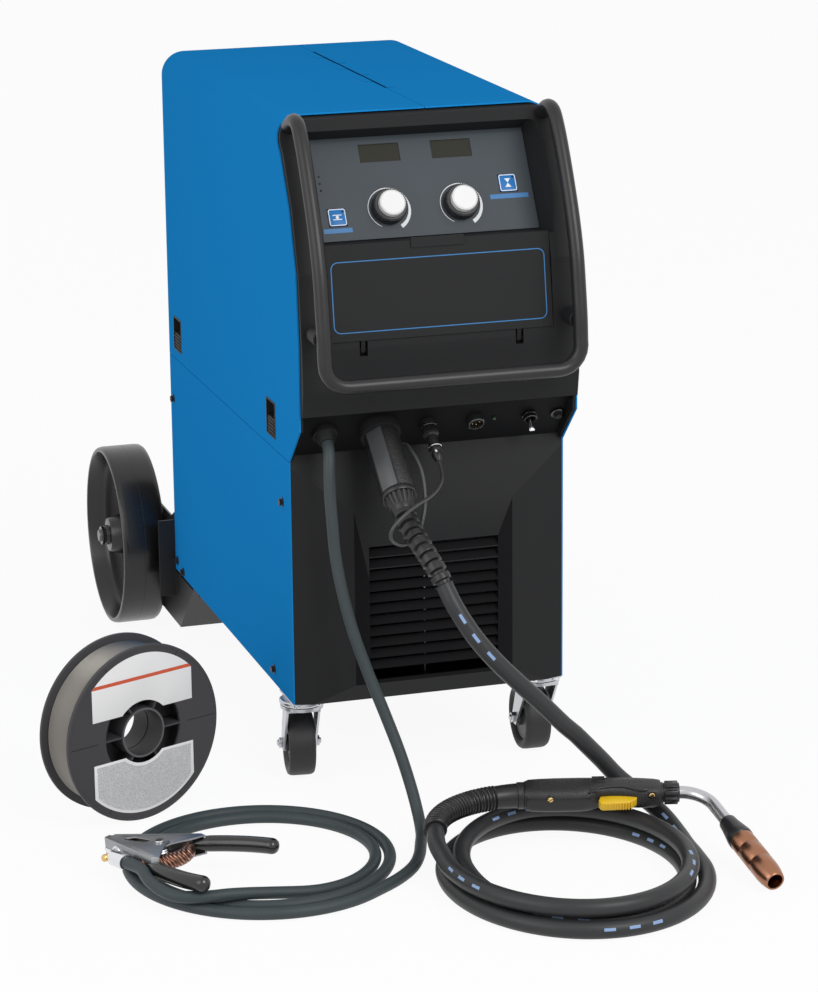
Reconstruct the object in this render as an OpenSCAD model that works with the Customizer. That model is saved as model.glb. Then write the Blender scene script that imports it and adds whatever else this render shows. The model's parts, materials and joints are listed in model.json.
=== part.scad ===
/* [Cabinet] */
// Width of the cabinet over its side panels
cab_w = 318; // [312:1:330]
// Depth of the cabinet, from the edges of its lower front to the rear panel
cab_d = 560; // [540:1:600]
// Height of the top panel above the floor
cab_top = 760; // [750:1:790]
// Height of the underside above the floor
cab_bottom = 105; // [102:1:112]
// Thickness of the sheet metal
sheet = 1.6; // [1.2:0.1:2]
// Outside radius of the two long top edges
top_r = 28; // [20:1:34]
// Distance of the door's hinge seam from the centre plane
seam_x = 14; // [8:1:20]
// Height of the loading door's side, from the top panel down to its seam
door_h = 375; // [365:1:380]

/* [Lower front] */
// How far the middle of the lower front stands out from its edges
bulge = 20; // [12:1:24]
// Half the width of the flat middle of the lower front
bulge_half = 92; // [84:1:100]
// Height of the sloped shelf below the connector panel
shelf_h = 63; // [55:1:70]
// Height of the opening that holds the connectors
recess_h = 56; // [52:1:60]
// Lean of the connector panel, so that its plugs point down
wall_tilt = 38; // [34:1:40]
// Wall of the moulded front pieces
moulding = 3; // [2.5:0.1:3.4]
// Number of air slots
louvres = 12; // [8:1:13]
// Height from one air slot to the next
louvre_pitch = 12.9; // [11:0.1:13.5]
// Width of the air slots
louvre_w = 150; // [130:1:160]

/* [Control panel] */
// Lean of the control panel from upright
panel_tilt = 31; // [28:1:33]
// Half the width of the control panel
panel_half = 126; // [122:1:128]
// Distance of each knob and display from the centre plane
knob_x = 41; // [38:1:46]
// Radius of the knurled base of a knob
knob_r = 19; // [16:0.5:20]
// Height of a knob over the panel
knob_h = 22; // [18:1:26]
// Radius of a knob's shaft
knob_shaft_r = 3; // [2.5:0.1:3.5]
// Width of a display window
display_w = 46; // [40:1:50]
// Height of a display window
display_h = 21; // [18:1:24]
// Side of a square membrane button
button_w = 20; // [16:1:21]
// Travel of a membrane button
button_travel = 0.8; // [0.4:0.1:0.9]

/* [Flap] */
// Width of the flap below the control panel
flap_w = 255; // [245:1:258]
// Height of the flap
flap_h = 104; // [96:1:108]
// Lean of the flap from upright
flap_tilt = 9; // [8:0.5:10]
// Distance between the flap's two hinge arms
arm_span = 177; // [150:1:200]
// Radius of the flap's hinge pins
flap_pin_r = 1.6; // [1.2:0.1:2]

/* [Handle] */
// Radius of the handle's tube
handle_r = 8; // [7:0.5:9]
// Distance of each upright of the handle from the centre plane
handle_x = 144; // [141:1:147]
// Bend of the handle's lower corners
handle_bend = 26; // [22:1:34]

/* [Casters and wheels] */
// Radius of a caster wheel
caster_r = 38; // [34:1:40]
// Width of a caster wheel
caster_w = 31; // [26:1:34]
// Distance of a caster wheel's axle behind its swivel
caster_trail = 32; // [26:1:34]
// Radius of a caster's bearing race
race_r = 25; // [22:1:26]
// Radius of a rear wheel
wheel_r = 115; // [108:1:118]
// Width of a rear wheel
wheel_w = 57; // [48:1:60]
// Radius of the stub axles
axle_r = 8; // [6:0.5:10]
// Distance of the rear axle behind the rear panel
axle_back = 145; // [135:1:160]
// Distance that the cylinder tray reaches behind the rear panel
tray_back = 350; // [330:1:380]
// Height of the tray's underside above the floor
tray_low = 32; // [28:1:40]

/* [Wire drive] */
// Radius of the drive roll and of the idler
roll_r = 15; // [12:1:17]
// Diameter of the welding wire
wire_d = 1.2; // [0.8:0.1:1.6]
// Radius of the spool hub
hub_r = 25.2; // [24:0.1:25.6]
// Length of the spool hub
hub_l = 62; // [56:1:70]

/* [Wire spool] */
// Radius of the spool's flanges
spool_r = 100; // [90:1:102]
// Width over the spool's flanges
spool_w = 55; // [50:1:60]
// Radius of the spool's bore
spool_bore_r = 25.5; // [25.3:0.1:27]
// Turns in the winding's outer layer
winding_turns = 14; // [10:1:20]

/* [Gun] */
// Diameter of the gun cable
gun_cable_d = 19; // [16:0.5:19.5]
// Diameter of the connector's body
connector_d = 36; // [30:1:40]
// Length of the gun's grip
grip_l = 148; // [140:1:156]
// Diameter of the neck tube
neck_d = 14; // [12:0.5:16]
// Bend of the neck
neck_bend = 70; // [60:1:75]
// Diameter of the gas nozzle
nozzle_d = 27; // [22:1:28]
// Diameter of the trigger lead
lead_d = 4; // [3:0.2:4.4]

/* [Work cable] */
// Diameter of the work cable
work_cable_d = 13; // [10:0.5:14]
// Height of the clamp's channel
clamp_h = 26; // [22:1:30]
// Diameter of the clamp's pivot pin
clamp_pin_d = 6; // [5:0.5:8]

/* [Hidden] */
$fn = 48;

// Clearances: between fixed pieces, round a moving piece, and between a shaft and its bore
seat = 0.1;
gap = 0.4;
running = 0.05;

// Cabinet
hw = cab_w / 2;
inner = hw - sheet - seat;
door_low = cab_top - door_h;
side_low = cab_bottom;
// The side panels' front edge, from the top panel down: distance from the lower front, drop
nose = [[46, 0], [39, 10], [13, 39], [-18, 92], [-40, 158], [-47, 240], [-46, 330]];

// Front pieces, all hung from the top panel
bezel_low = cab_top - 313;
shelf_top = bezel_low - recess_h;
shelf_low = shelf_top - shelf_h;
shelf_y = 5;
wall_top_y = shelf_y - recess_h * tan(wall_tilt);
connector_drop = 26;
connector_z = bezel_low - connector_drop;
connector_y = wall_top_y + connector_drop * tan(wall_tilt);
front_back = 16;
cheek_x = hw - sheet - seat - moulding;
louvre_low = cab_bottom + 26;
// As many of the air slots as fit below the shelf
louvre_rows = min(louvres, floor((shelf_low - 8 - louvre_low) / louvre_pitch));
louvre_lip = 1.4;
louvre_gap = 4;
// The bezel's outer face: distance from the lower front, drop from the top panel
face = [[46, 3], [38, 6], [23, 20], [4, 38], [-26, 92], [-47, 158], [-56, 240], [-57, 285], [-52, 313]];

// Control panel: the knobs' axes cross it at this point
panel_y = 5.3;
panel_z = cab_top - 102.5;
panel_up = 84;
panel_down = 34;
panel_t = 2;
display_v = 64.5;
left_button = [-100, -7];
right_button = [98.5, 20];
knob_cap_r = 15;
knob_base_h = 14;

// Flap: its hinge pins lie in two small holes below it
pin_y = -50;
pin_z = cab_top - 243;
flap_low = pin_z + 11;
flap_t = 3;
flap_y = -56.5;
flap_room = 14;
arm_w = 5;
arm_hole = 9;

// Handle: the left upright from its socket down to the lower corner
handle_side = [[38, 16], [22, 6], [8, 1], [-8, 4], [-22, 20], [-38, 46], [-56, 80], [-72, 115],
    [-84, 150], [-91, 185], [-96, 215], [-98, 240]];
handle_low = cab_top - 271;
handle_y = -99;
pad_y = -62;
pad_z = cab_top - 219;
pad_r = 10;

// Base, casters and running gear
caster_x = 141;
caster_y = 32;
caster_plate = 3;
caster_plate_w = 36;
race_h = 9;
fork_t = 2.5;
caster_yaw = [-8, -2];
wheel_x = 162;
axle_y = cab_d + axle_back;
axle_z = wheel_r;
axle_end = wheel_x + wheel_w + 8;
tray_end = cab_d + tray_back;
gear_t = 3;
gear_top = 169;

// Wire drive: the wire runs forward into the gun connector
wire_x = -62;
drive_y = 120;
drive_z = connector_z + 30;
hub_y = 390;
hub_z = cab_top - 175;
divider_x = seam_x;
divider_front = 64;

// Spool beside the machine
spool_at = [-346, 4];
spool_yaw = 22.7;
core_r = 60;
flange_t = 4;
winding_r = 91;

// Gun: where its grip starts, and how it lies
gun_at = [32, -229, 56];
gun_heading = -15.3;
gun_roll = 16;
neck_r = 38;
neck_end = 34;
nut_l = 19;

// Work clamp: its pivot, and the heading of its jaws
clamp_at = [-361, -201, 29];
clamp_heading = 130;
clamp_pitch = 4.5;

// The part's origin: the middle of its base on the floor
spool_reach = spool_r * cos(spool_yaw) + spool_w / 2 * sin(spool_yaw);
left_end = spool_at[0] - spool_reach;
front_end = handle_y - handle_r;
origin_x = (left_end + axle_end) / 2;
origin_y = (front_end + tray_end) / 2;

// Colours
blue = [0.10, 0.45, 0.75];
black = [0.12, 0.12, 0.13];
slate = [0.20, 0.23, 0.27];
zinc = [0.72, 0.73, 0.75];
copper = [0.72, 0.42, 0.28];

// Routes of the cords, points chosen by hand
gun_route = [[-42, -188, 288], [-35, -200, 268], [-21, -210, 242], [-7, -216, 222],
    [9, -220, 203], [31, -223, 180], [56, -225, 155], [79.5, -226, 130], [92.5, -225, 118],
    [104.5, -224, 105], [116.5, -222, 92], [126.5, -220, 81], [143, -221, 62], [165, -232, 42],
    [183, -254, 25], [189, -282, 14], [188, -312, 10], [186, -342, 9.6]];
work_route = [[-124, -31, 411.1], [-125, -41.5, 402.5], [-127, -48, 385], [-127, -50, 355],
    [-125, -50, 325],
    [-122, -49, 290], [-117, -57, 250], [-110, -70, 210], [-98, -86, 165], [-84, -104, 120],
    [-73, -123, 80], [-66, -140, 45], [-64, -158, 20], [-68, -182, 8], [-77, -208, 6.6],
    [-88, -238, 6.6], [-104, -268, 6.6], [-127, -294, 6.6], [-153.2, -314.5, 6.6]];
lead_route = [[-6, -61, 387.7], [-6, -64.2, 385.2], [-7, -73, 379.5], [-11, -85, 373],
    [-21, -99, 367], [-36, -116, 364], [-53, -133, 363], [-70, -144, 357], [-82, -149, 349],
    [-88, -149, 340], [-87, -144, 331], [-80, -135, 323], [-69, -126, 317], [-57, -119, 318],
    [-47, -115, 327], [-41, -111, 340], [-36, -104, 355], [-34, -95, 372], [-34, -85, 387],
    [-36, -75, 397], [-38, -65, 403], [-38.5, -57, 405.5], [-38.8, -50, 406.5],
    [-40.4, -45.5, 406.5], [-43.4, -43, 406]];
gun_coil_tail = [[-86, -318, 33], [-86, -294, 39], [-80, -270, 45]];
work_coil_tail = [[-272, -310, 15], [-294, -312, 18], [-316, -313, 20], [-338, -313, 20.6],
    [-366, -306, 21.5], [-381, -289, 24], [-389, -265, 27.2], [-391, -240, 29.8],
    [-400, -211.7, 27.7]];

// Vector and sweep helpers
function unit(v) = v / norm(v);
function tangents(p) = [for (i = [0:len(p) - 1])
    unit(p[min(i + 1, len(p) - 1)] - p[max(i - 1, 0)])];
function carry(n, t) = unit(n - (n * t) * t);
function normals(t) = [for (i = 0, n = carry(abs(t[0][2]) < 0.9 ? [0, 0, 1] : [1, 0, 0], t[0]);
    i < len(t); i = i + 1, n = carry(n, t[min(i, len(t) - 1)])) n];
function ring(p, t, n, r, sides) = let (b = cross(t, n))
    [for (k = [0:sides - 1]) p + r * (cos(360 * k / sides) * n + sin(360 * k / sides) * b)];
function skin(rings, sides) = concat(
    [for (i = [0:rings - 2]) for (k = [0:sides - 1])
        let (a = i * sides + k, b = i * sides + (k + 1) % sides)
            each [[a, a + sides, b], [b, a + sides, b + sides]]],
    [for (k = [1:sides - 2]) [0, k, k + 1]],
    [for (k = [1:sides - 2]) let (e = (rings - 1) * sides) [e, e + k + 1, e + k]]);
// Least distance between turns, less the tube's diameter
function self_gap(p, d, apart) = min([for (i = [0:len(p) - 1]) for (j = [i + apart:1:len(p) - 1])
    norm(p[i] - p[j]) - d]);
function bezier(a, b, c, d, steps) = [for (i = [0:steps]) let (s = i / steps, u = 1 - s)
    u * u * u * a + 3 * u * u * s * b + 3 * u * s * s * c + s * s * s * d];

// A tube along points; its radius is a number or one per point
module tube(p, r, sides) {
    t = tangents(p);
    n = normals(t);
    points = [for (i = [0:len(p) - 1]) each ring(p[i], t[i], n[i], is_list(r) ? r[i] : r, sides)];
    polyhedron(points, skin(len(p), sides), convexity = 10);
}

// A solid through oval sections along X: [x, half width, up, down]
module loft(sections, sides = 16) {
    points = [for (s = sections) for (k = [0:sides - 1])
        let (a = -360 * k / sides)
            [s[0], s[1] * cos(a), sin(a) > 0 ? s[2] * sin(a) : s[3] * sin(a)]];
    polyhedron(points, skin(len(sections), sides), convexity = 6);
}

// A round rod from one point to another
module rod(p, q, r) {
    d = q - p;
    translate(p) rotate([0, acos(d[2] / norm(d)), atan2(d[1], d[0])]) cylinder(h = norm(d), r = r);
}

// An outline in Y and Z, drawn from x0 to x1
module prism_x(x0, x1, outline)
    translate([x0, 0, 0]) rotate([90, 0, 90]) linear_extrude(x1 - x0) polygon(outline);

// A flat shape in X and Z, drawn from y0 to y1
module prism_y(y0, y1) translate([0, y1, 0]) rotate([90, 0, 0]) linear_extrude(y1 - y0) children();

module both_sides() {
    children();
    mirror([1, 0, 0]) children();
}

// Sides of a box from low to high corner
module block(low, high) translate(low) cube(high - low);

// Places: local Z stands out of the face, and local Y runs up it
module on_panel(x, v) translate([x, panel_y + v * sin(panel_tilt), panel_z + v * cos(panel_tilt)])
    rotate([90 - panel_tilt, 0, 0]) children();
module on_wall(x) translate([x, connector_y, connector_z]) rotate([90 + wall_tilt, 0, 0]) children();
module on_left(y, z) translate([-hw, y, z]) rotate([0, -90, 0]) children();
module at_caster(side) translate([side * caster_x, caster_y, 0])
    rotate([0, 0, caster_yaw[side < 0 ? 0 : 1]]) children();
module at_gun() translate(gun_at) rotate([0, 0, gun_heading]) rotate([-90 + gun_roll, 0, 0]) children();
module at_clamp() translate(clamp_at) rotate([0, clamp_pitch, clamp_heading]) children();
module at_spool() translate([spool_at[0], spool_at[1], spool_r]) rotate([0, 0, spool_yaw])
    rotate([90, 0, 0]) children();
// Puts the machine's own frame, on its centre plane, into the part's frame
module stand() translate([-origin_x, -origin_y, 0]) children();

/* Cabinet */
// The half section of the cabinet, from x_left to the right side, shrunk by inset
module section(inset, x_left, z_low) {
    translate([x_left, z_low]) square([hw - inset - x_left, cab_top - top_r - z_low]);
    translate([x_left, cab_top - top_r - 1]) square([hw - top_r - x_left, top_r + 1 - inset]);
    translate([hw - top_r, cab_top - top_r]) circle(top_r - inset);
}

// A box seen from the front, whose round top corners lie d inside the side panels' own
module front_outline(d, z_low, z_high) {
    middle = [hw - top_r, cab_top - top_r];
    arc = [for (a = [0:15:90]) middle + (top_r - d) * [cos(a), sin(a)]];
    polygon(concat([[d - hw, z_low], [hw - d, z_low]], [for (p = arc) [p[0], min(p[1], z_high)]],
        [for (k = [len(arc) - 1:-1:0]) [-arc[k][0], min(arc[k][1], z_high)]]));
}

module nose_outline(low) prism_x(-hw - 1, hw + 1, concat(
    [for (n = nose) [n[0], cab_top - n[1] + (n[1] == 0 ? 1 : 0)]],
    [[0, cab_top - door_h], [0, low - 1], [cab_d + 1, low - 1], [cab_d + 1, cab_top + 1]]));

module wrapped_sheet(x_left, z_low) intersection() {
    prism_y(nose[5][0] - 1, cab_d) difference() {
        section(0, x_left, z_low);
        section(sheet, x_left - 1, z_low - 1);
    }
    nose_outline(z_low);
}

hinge_r = 2.6;
hinge_z = cab_top + hinge_r + 0.2;
hinge_span = [190, 490];
knuckles = 6;
module knuckle_row(first) {
    pitch = (hinge_span[1] - hinge_span[0]) / knuckles;
    for (k = [first:2:knuckles - 1]) {
        y0 = hinge_span[0] + k * pitch + gap / 2;
        difference() {
            union() {
                translate([seam_x, y0 + pitch - gap, hinge_z]) rotate([90, 0, 0])
                    cylinder(h = pitch - gap, r = hinge_r);
                side = first == 0 ? 1 : -1;
                translate([seam_x + (side > 0 ? 0.8 : -11), y0, cab_top])
                    cube([10.2, pitch - gap, 1.3]);
            }
            translate([seam_x, y0 + pitch, hinge_z]) rotate([90, 0, 0])
                cylinder(h = pitch + 1, r = 1.2 + (first == 0 ? 0 : running));
        }
    }
}

module right_wrapper() color(blue) {
    wrapped_sheet(seam_x + gap, side_low);
    knuckle_row(0);
    translate([seam_x, hinge_span[1], hinge_z]) rotate([90, 0, 0])
        cylinder(h = hinge_span[1] - hinge_span[0], r = 1.2);
}

latch_w = 36;
latch_h = 40;
latch_z = door_low + 33;
latch_y = [73, cab_d - 46];
cup = 9;
module latch_place(y) on_left(y, latch_z) children();

module loading_door() color(blue) {
    difference() {
        mirror([1, 0, 0]) wrapped_sheet(-seam_x + gap, door_low + gap);
        for (y = latch_y) latch_place(y)
            translate([-latch_h / 2, -latch_w / 2, -sheet - 1]) cube([latch_h, latch_w, sheet + 2]);
    }
    for (y = latch_y) latch_place(y) difference() {
        translate([-latch_h / 2 - 1, -latch_w / 2 - 1, -cup])
            cube([latch_h + 2, latch_w + 2, cup - sheet]);
        translate([-latch_h / 2 - 2, -latch_w / 2, -cup + 1]) cube([latch_h + 2, latch_w, cup]);
    }
    knuckle_row(1);
}

// A flush slide latch: its tongue hooks behind the lower panel
module latch(y) color(black) latch_place(y) {
    translate([-latch_h / 2 + gap, -latch_w / 2 + gap, -cup + 1 + gap])
        cube([latch_h / 2, latch_w - 2 * gap, cup - 2]);
    translate([-latch_h / 2 - 12, -6, -cup + 1 + gap]) cube([14, 12, 2.4]);
    for (k = [0:3]) translate([-latch_h / 2 + 4 + 4 * k, -latch_w / 2 + 5, -1 + gap])
        cube([1.6, latch_w - 10, 1.4]);
}

module latch_front() latch(latch_y[0]);
module latch_rear() latch(latch_y[1]);

module lower_left_panel() color(blue) {
    block([-hw, 0, side_low], [-hw + sheet, cab_d, door_low - gap]);
    // A joggled lip behind the door's edge, cut away at the latches
    difference() {
        union() {
            block([-hw + sheet / 2, front_back + 2, door_low - 14],
                [-hw + 2 * sheet + gap, cab_d - 14, door_low - 4]);
            block([-hw + sheet + gap, front_back + 2, door_low - 14],
                [-hw + 2 * sheet + gap, cab_d - 14, door_low + 8]);
        }
        for (y = latch_y) block([-hw, y - latch_w / 2 - 2, door_low - gap],
            [-hw + 4 * sheet, y + latch_w / 2 + 2, door_low + 9]);
    }
}

module base_pan() color(black) {
    difference() {
        block([-inner, front_back + seat, side_low], [inner, cab_d - sheet - seat, side_low + sheet]);
        for (s = [-1, 1]) translate([s * caster_x, caster_y, side_low - 1])
            cylinder(h = sheet + 2, r = 5);
    }
    both_sides() block([inner - sheet, 20, side_low + sheet], [inner, cab_d - 20, side_low + 18]);
}

fan_z = 300;
fan_x = (divider_x + sheet + inner) / 2;
fan_r = 66;
gland_at = [-90, 190];
gas_at = [-110, 300];
module rear_panel() color(black) difference() {
    union() {
        prism_y(cab_d - sheet, cab_d) {
            section(sheet + seat, -1, side_low);
            mirror([1, 0]) section(sheet + seat, -1, side_low);
        }
    }
    for (k = [-4:4]) let (z = fan_z + 14 * k, half = sqrt(pow(fan_r, 2) - pow(14 * k, 2)))
        block([fan_x - half, cab_d - sheet - 1, z - 4], [fan_x + half, cab_d + 1, z + 4]);
    for (p = [gland_at, gas_at]) translate([p[0], cab_d + 1, p[1]]) rotate([90, 0, 0])
        cylinder(h = sheet + 2, r = 8 + seat);
}

module centre_divider() color(zinc) {
    difference() {
        block([divider_x, divider_front, side_low + sheet],
            [divider_x + sheet, cab_d - 40, cab_top - sheet - seat]);
        rod([divider_x - 1, drive_y + 30, drive_z], [divider_x + 4, drive_y + 30, drive_z], 18.4);
    }
    // Spindle of the spool hub, with its retaining head
    rod([divider_x - hub_l - 6, hub_y, hub_z], [divider_x, hub_y, hub_z], 6);
    rod([divider_x - hub_l - 6, hub_y, hub_z], [divider_x - hub_l - 3.4, hub_y, hub_z], 10);
}

/* Front */
// The lower front's outer form, which its hollow repeats one wall further back
module lower_form(back) {
    low = cab_bottom;
    intersection() {
        translate([0, 0, low]) linear_extrude(shelf_top - low)
            polygon([[-inner, back], [-inner, 0], [-bulge_half, -bulge], [bulge_half, -bulge],
                [inner, 0], [inner, back]]);
        prism_x(-inner, inner, [[back, low], [-6, low], [-bulge, low + 22], [-bulge, shelf_low],
            [shelf_y, shelf_top], [back, shelf_top]]);
    }
    prism_x(-inner, inner, [[back, shelf_top - 0.01], [shelf_y, shelf_top - 0.01],
        [wall_top_y, bezel_low - seat], [back, bezel_low - seat]]);
}

connector_x = wire_x;
trigger_x = -6;
accessory_x = 49;
led_lens_x = 71;
switch_x = 112;
breaker_x = 145;
work_x = -124;
boss_r = 22.5;
work_boss_r = 14;
small_boss_r = 9.5;
bush_r = 7;
collar_r = 5.5;
lens_r = 2.2;
module wall_holes() {
    for (h = [[connector_x, boss_r], [trigger_x, small_boss_r], [accessory_x, small_boss_r],
        [led_lens_x, lens_r], [switch_x, bush_r], [breaker_x, collar_r], [work_x, work_boss_r]])
        on_wall(h[0]) translate([0, 0, -12]) cylinder(h = 24, r = h[1] + seat);
}

module lower_front() color(black) {
    back = front_back;
    difference() {
        lower_form(back);
        translate([0, moulding, 0]) intersection() {
            lower_form(back + moulding + 1);
            block([-inner + moulding, -100, cab_bottom + moulding],
                [inner - moulding, back + 9, bezel_low - moulding]);
        }
        block([-louvre_w / 2, -bulge - 1, louvre_low],
            [louvre_w / 2, -bulge + moulding + 1, louvre_low + louvre_rows * louvre_pitch]);
        wall_holes();
    }
    for (k = [1:louvre_rows - 1]) translate([0, -bulge, louvre_low + k * louvre_pitch])
        prism_x(-louvre_w / 2 - 0.5, louvre_w / 2 + 0.5, [[0, 0], [0, louvre_lip],
            [moulding + 4, louvre_pitch - louvre_gap], [moulding + 5.6, louvre_pitch - louvre_gap],
            [1.6, 0]]);
    both_sides() prism_x(cheek_x, inner, [[shelf_y + 4, shelf_top - 4], [0.6, shelf_top - 4],
        [nose[6][0] + 2, cab_top - nose[6][1] - 1], [nose[6][0] + 1, bezel_low - seat],
        [shelf_y + 4, bezel_low - seat]]);
}

function face_back(d, far) = concat([for (p = face) [p[0] + d, cab_top - p[1]]],
    [[far, bezel_low], [far, cab_top - face[0][1]]]);
// The recess over the control panel, which widens towards its mouth, grown by d
recess_out = 40;
recess_flare = 14;
recess_corner = 14;
module recess(d) on_panel(0, 0) hull() {
    low = -panel_down - recess_out * tan(panel_tilt) - d;
    wide = panel_half + recess_flare + d;
    translate([-panel_half - d, -panel_down - d, -d])
        cube([2 * (panel_half + d), panel_down + panel_up + 2 * d, 0.01]);
    translate([-wide, low, recess_out]) cube([2 * wide, 1, 0.01]);
    for (s = [-1, 1]) translate([s * (wide - recess_corner), panel_up + d - recess_corner, recess_out])
        cylinder(h = 0.01, r = recess_corner, $fn = 32);
}

module front_bezel() color(black) {
    // The shell's depth at the sides reaches past the top of the face
    back = face[0][0] + 2;
    edge = inner - seat;
    difference() {
        union() {
            difference() {
                intersection() {
                    prism_x(-edge - 1, edge + 1, face_back(0, back));
                    prism_y(handle_y, back + 1)
                        front_outline(hw - edge, bezel_low - 1, cab_top);
                }
                intersection() {
                    prism_x(-edge, edge, face_back(moulding, back + 30));
                    prism_y(handle_y, back + 31)
                        front_outline(hw - edge + moulding, bezel_low + moulding, cab_top - 8);
                }
            }
            intersection() {
                prism_x(-edge, edge, face_back(0, 60));
                recess(moulding);
            }
            // The flap's shallow locker
            intersection() {
                prism_x(-edge, edge, face_back(0, 60));
                block([-flap_w / 2 - 4, -90, pin_z - 8],
                    [flap_w / 2 + 4, flap_y + flap_room + 14, flap_low + flap_h]);
            }
        }
        recess(0);
        translate([0, flap_y, flap_low - gap]) rotate([-flap_tilt, 0, 0])
            block([-flap_w / 2 - gap, -20, 0],
                [flap_w / 2 + gap, flap_room, flap_h + 2 * gap]);
        for (s = [-1, 1]) {
            translate([s * arm_span / 2, 0, 0]) {
                block([-arm_hole / 2, -90, pin_z - 6], [arm_hole / 2, pin_y + 5, flap_low + 6]);
                translate([-arm_hole / 2 - 3, pin_y, pin_z]) rotate([0, 90, 0])
                    cylinder(h = arm_hole + 6, r = flap_pin_r + running);
            }
            on_panel(s * knob_x, 0) translate([0, 0, -20]) cylinder(h = 30, r = knob_shaft_r + seat);
        }
        // Sockets of the handle
        both_sides() rod(2 * handle_point(0) - handle_point(1), handle_point(1), handle_r + seat);
        both_sides() translate([handle_x, -90, pad_z]) rotate([-90, 0, 0])
            cylinder(h = 60, r = 3 + seat);
    }
}

module control_panel() color(slate) {
    difference() {
        on_panel(0, 0) translate([-panel_half + seat, -panel_down + seat, seat])
            cube([2 * (panel_half - seat), panel_up + panel_down - 2 * seat, panel_t]);
        for (s = [-1, 1]) on_panel(s * knob_x, display_v)
            translate([-display_w / 2, -display_h / 2, -1]) cube([display_w, display_h, panel_t + 2]);
        for (b = [left_button, right_button]) on_panel(b[0], b[1])
            translate([-button_w / 2 - gap, -button_w / 2 - gap, -1])
                cube([button_w + 2 * gap, button_w + 2 * gap, panel_t + 2]);
    }
    for (s = [-1, 1]) on_panel(s * knob_x, 0) translate([0, 0, -8])
        cylinder(h = knob_h - 6 + 8, r = knob_shaft_r);
}

module display_windows() color([0.25, 0.25, 0.16])
    for (s = [-1, 1]) on_panel(s * knob_x, display_v)
        translate([-display_w / 2 + seat, -display_h / 2 + seat, seat])
            cube([display_w - 2 * seat, display_h - 2 * seat, 1.2]);

module knob(x) on_panel(x, 0) difference() {
    union() {
        color(black) translate([0, 0, panel_t + gap]) cylinder(h = knob_base_h - panel_t, r1 = knob_r,
            r2 = knob_r - 1.5);
        color("white") translate([0, 0, knob_base_h]) cylinder(h = knob_h - knob_base_h,
            r1 = knob_cap_r, r2 = knob_cap_r - 1);
    }
    translate([0, 0, -1]) cylinder(h = knob_h - 6 + 1.5, r = knob_shaft_r + running);
}
module knob_left() knob(-knob_x);
module knob_right() knob(knob_x);

module button(at) color(blue) on_panel(at[0], at[1])
    translate([0, 0, seat + button_travel + 0.1]) linear_extrude(panel_t - button_travel + 0.6)
        offset(2) square(button_w - 4, center = true);
module button_left() button(left_button);
module button_right() button(right_button);

module front_flap() color(black) {
    translate([0, flap_y, flap_low]) rotate([-flap_tilt, 0, 0]) {
        block([-flap_w / 2 + gap, 0, 0], [flap_w / 2 - gap, flap_t, flap_h]);
        // Finger lip along the middle of the top edge
        block([-30, -1.5, flap_h - 8], [30, flap_t, flap_h + 3]);
        both_sides() block([flap_w / 2 - gap - 3, 0, 12], [flap_w / 2 - gap, 11, flap_h - 4]);
    }
    for (s = [-1, 1]) translate([s * arm_span / 2, 0, 0]) {
        prism_x(-arm_w / 2, arm_w / 2, [[pin_y + 3, pin_z - 2.5], [pin_y + 3, pin_z + 6],
            [flap_y + 5, flap_low + 10], [flap_y + 2.4, flap_low + 4], [flap_y + 2, flap_low - 2],
            [pin_y - 3, pin_z - 2.5]]);
        translate([-arm_hole / 2 - 2, pin_y, pin_z]) rotate([0, 90, 0])
            cylinder(h = arm_hole + 4, r = flap_pin_r);
    }
}

function handle_point(i) = [handle_x, handle_side[i][0], cab_top - handle_side[i][1]];
function handle_half() = concat(
    [for (i = [0:len(handle_side) - 1]) handle_point(i)],
    [for (k = [0:6]) let (a = 15 * k) [handle_x - handle_bend * (1 - cos(a)), handle_y,
        handle_low + handle_bend * (1 - sin(a))]]);
function mirror_x(p) = [-p[0], p[1], p[2]];
function handle_path() = concat(handle_half(), [[0, handle_y, handle_low]],
    [for (i = [len(handle_half()) - 1:-1:0]) mirror_x(handle_half()[i])]);

module carry_handle() color(black) {
    tube(handle_path(), handle_r, 16);
    // Pads that carry the uprights on the bezel
    both_sides() {
        translate([handle_x, handle_pad_y + 3, pad_z]) rotate([-90, 0, 0])
            cylinder(h = pad_y - handle_pad_y - 3.4, r = pad_r);
        translate([handle_x, handle_pad_y, pad_z]) rotate([-90, 0, 0])
            cylinder(h = 46, r = 3);
    }
}
handle_pad_y = -92;

module sockets() color(black) {
    // Gun socket: a flange that takes the connector's nose
    on_wall(connector_x) difference() {
        translate([0, 0, -8]) cylinder(h = 20, r = boss_r);
        translate([0, 0, 4]) cylinder(h = 9, r = connector_d / 2 + seat);
    }
    on_wall(work_x) {
        translate([0, 0, -6]) cylinder(h = 12, r = work_boss_r);
        translate([0, 0, 6]) cylinder(h = 10, r1 = 12, r2 = work_cable_d / 2 + 2);
    }
    on_wall(trigger_x) difference() {
        translate([0, 0, -6]) cylinder(h = 12, r = small_boss_r);
        translate([0, 0, 2]) cylinder(h = 5, r = 7.2);
    }
    on_wall(accessory_x) {
        difference() {
            translate([0, 0, -6]) cylinder(h = 13, r = small_boss_r);
            translate([0, 0, 2]) cylinder(h = 6, r = 7.6);
            for (a = [0:72:288]) rotate([0, 0, a]) translate([4.4, 0, -1]) cylinder(h = 4, r = 0.9);
        }
    }
    on_wall(led_lens_x) translate([0, 0, -6]) cylinder(h = 7.5, r = lens_r);
    on_wall(switch_x) difference() {
        translate([0, 0, -14]) cylinder(h = 22, r = bush_r);
        translate([0, 0, -3]) cylinder(h = 12, r = bush_r - 1.2);
    }
    on_wall(breaker_x) difference() {
        translate([0, 0, -12]) cylinder(h = 16, r = collar_r);
        translate([0, 0, -9]) cylinder(h = 14, r = 3.5 + running);
    }
}

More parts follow.
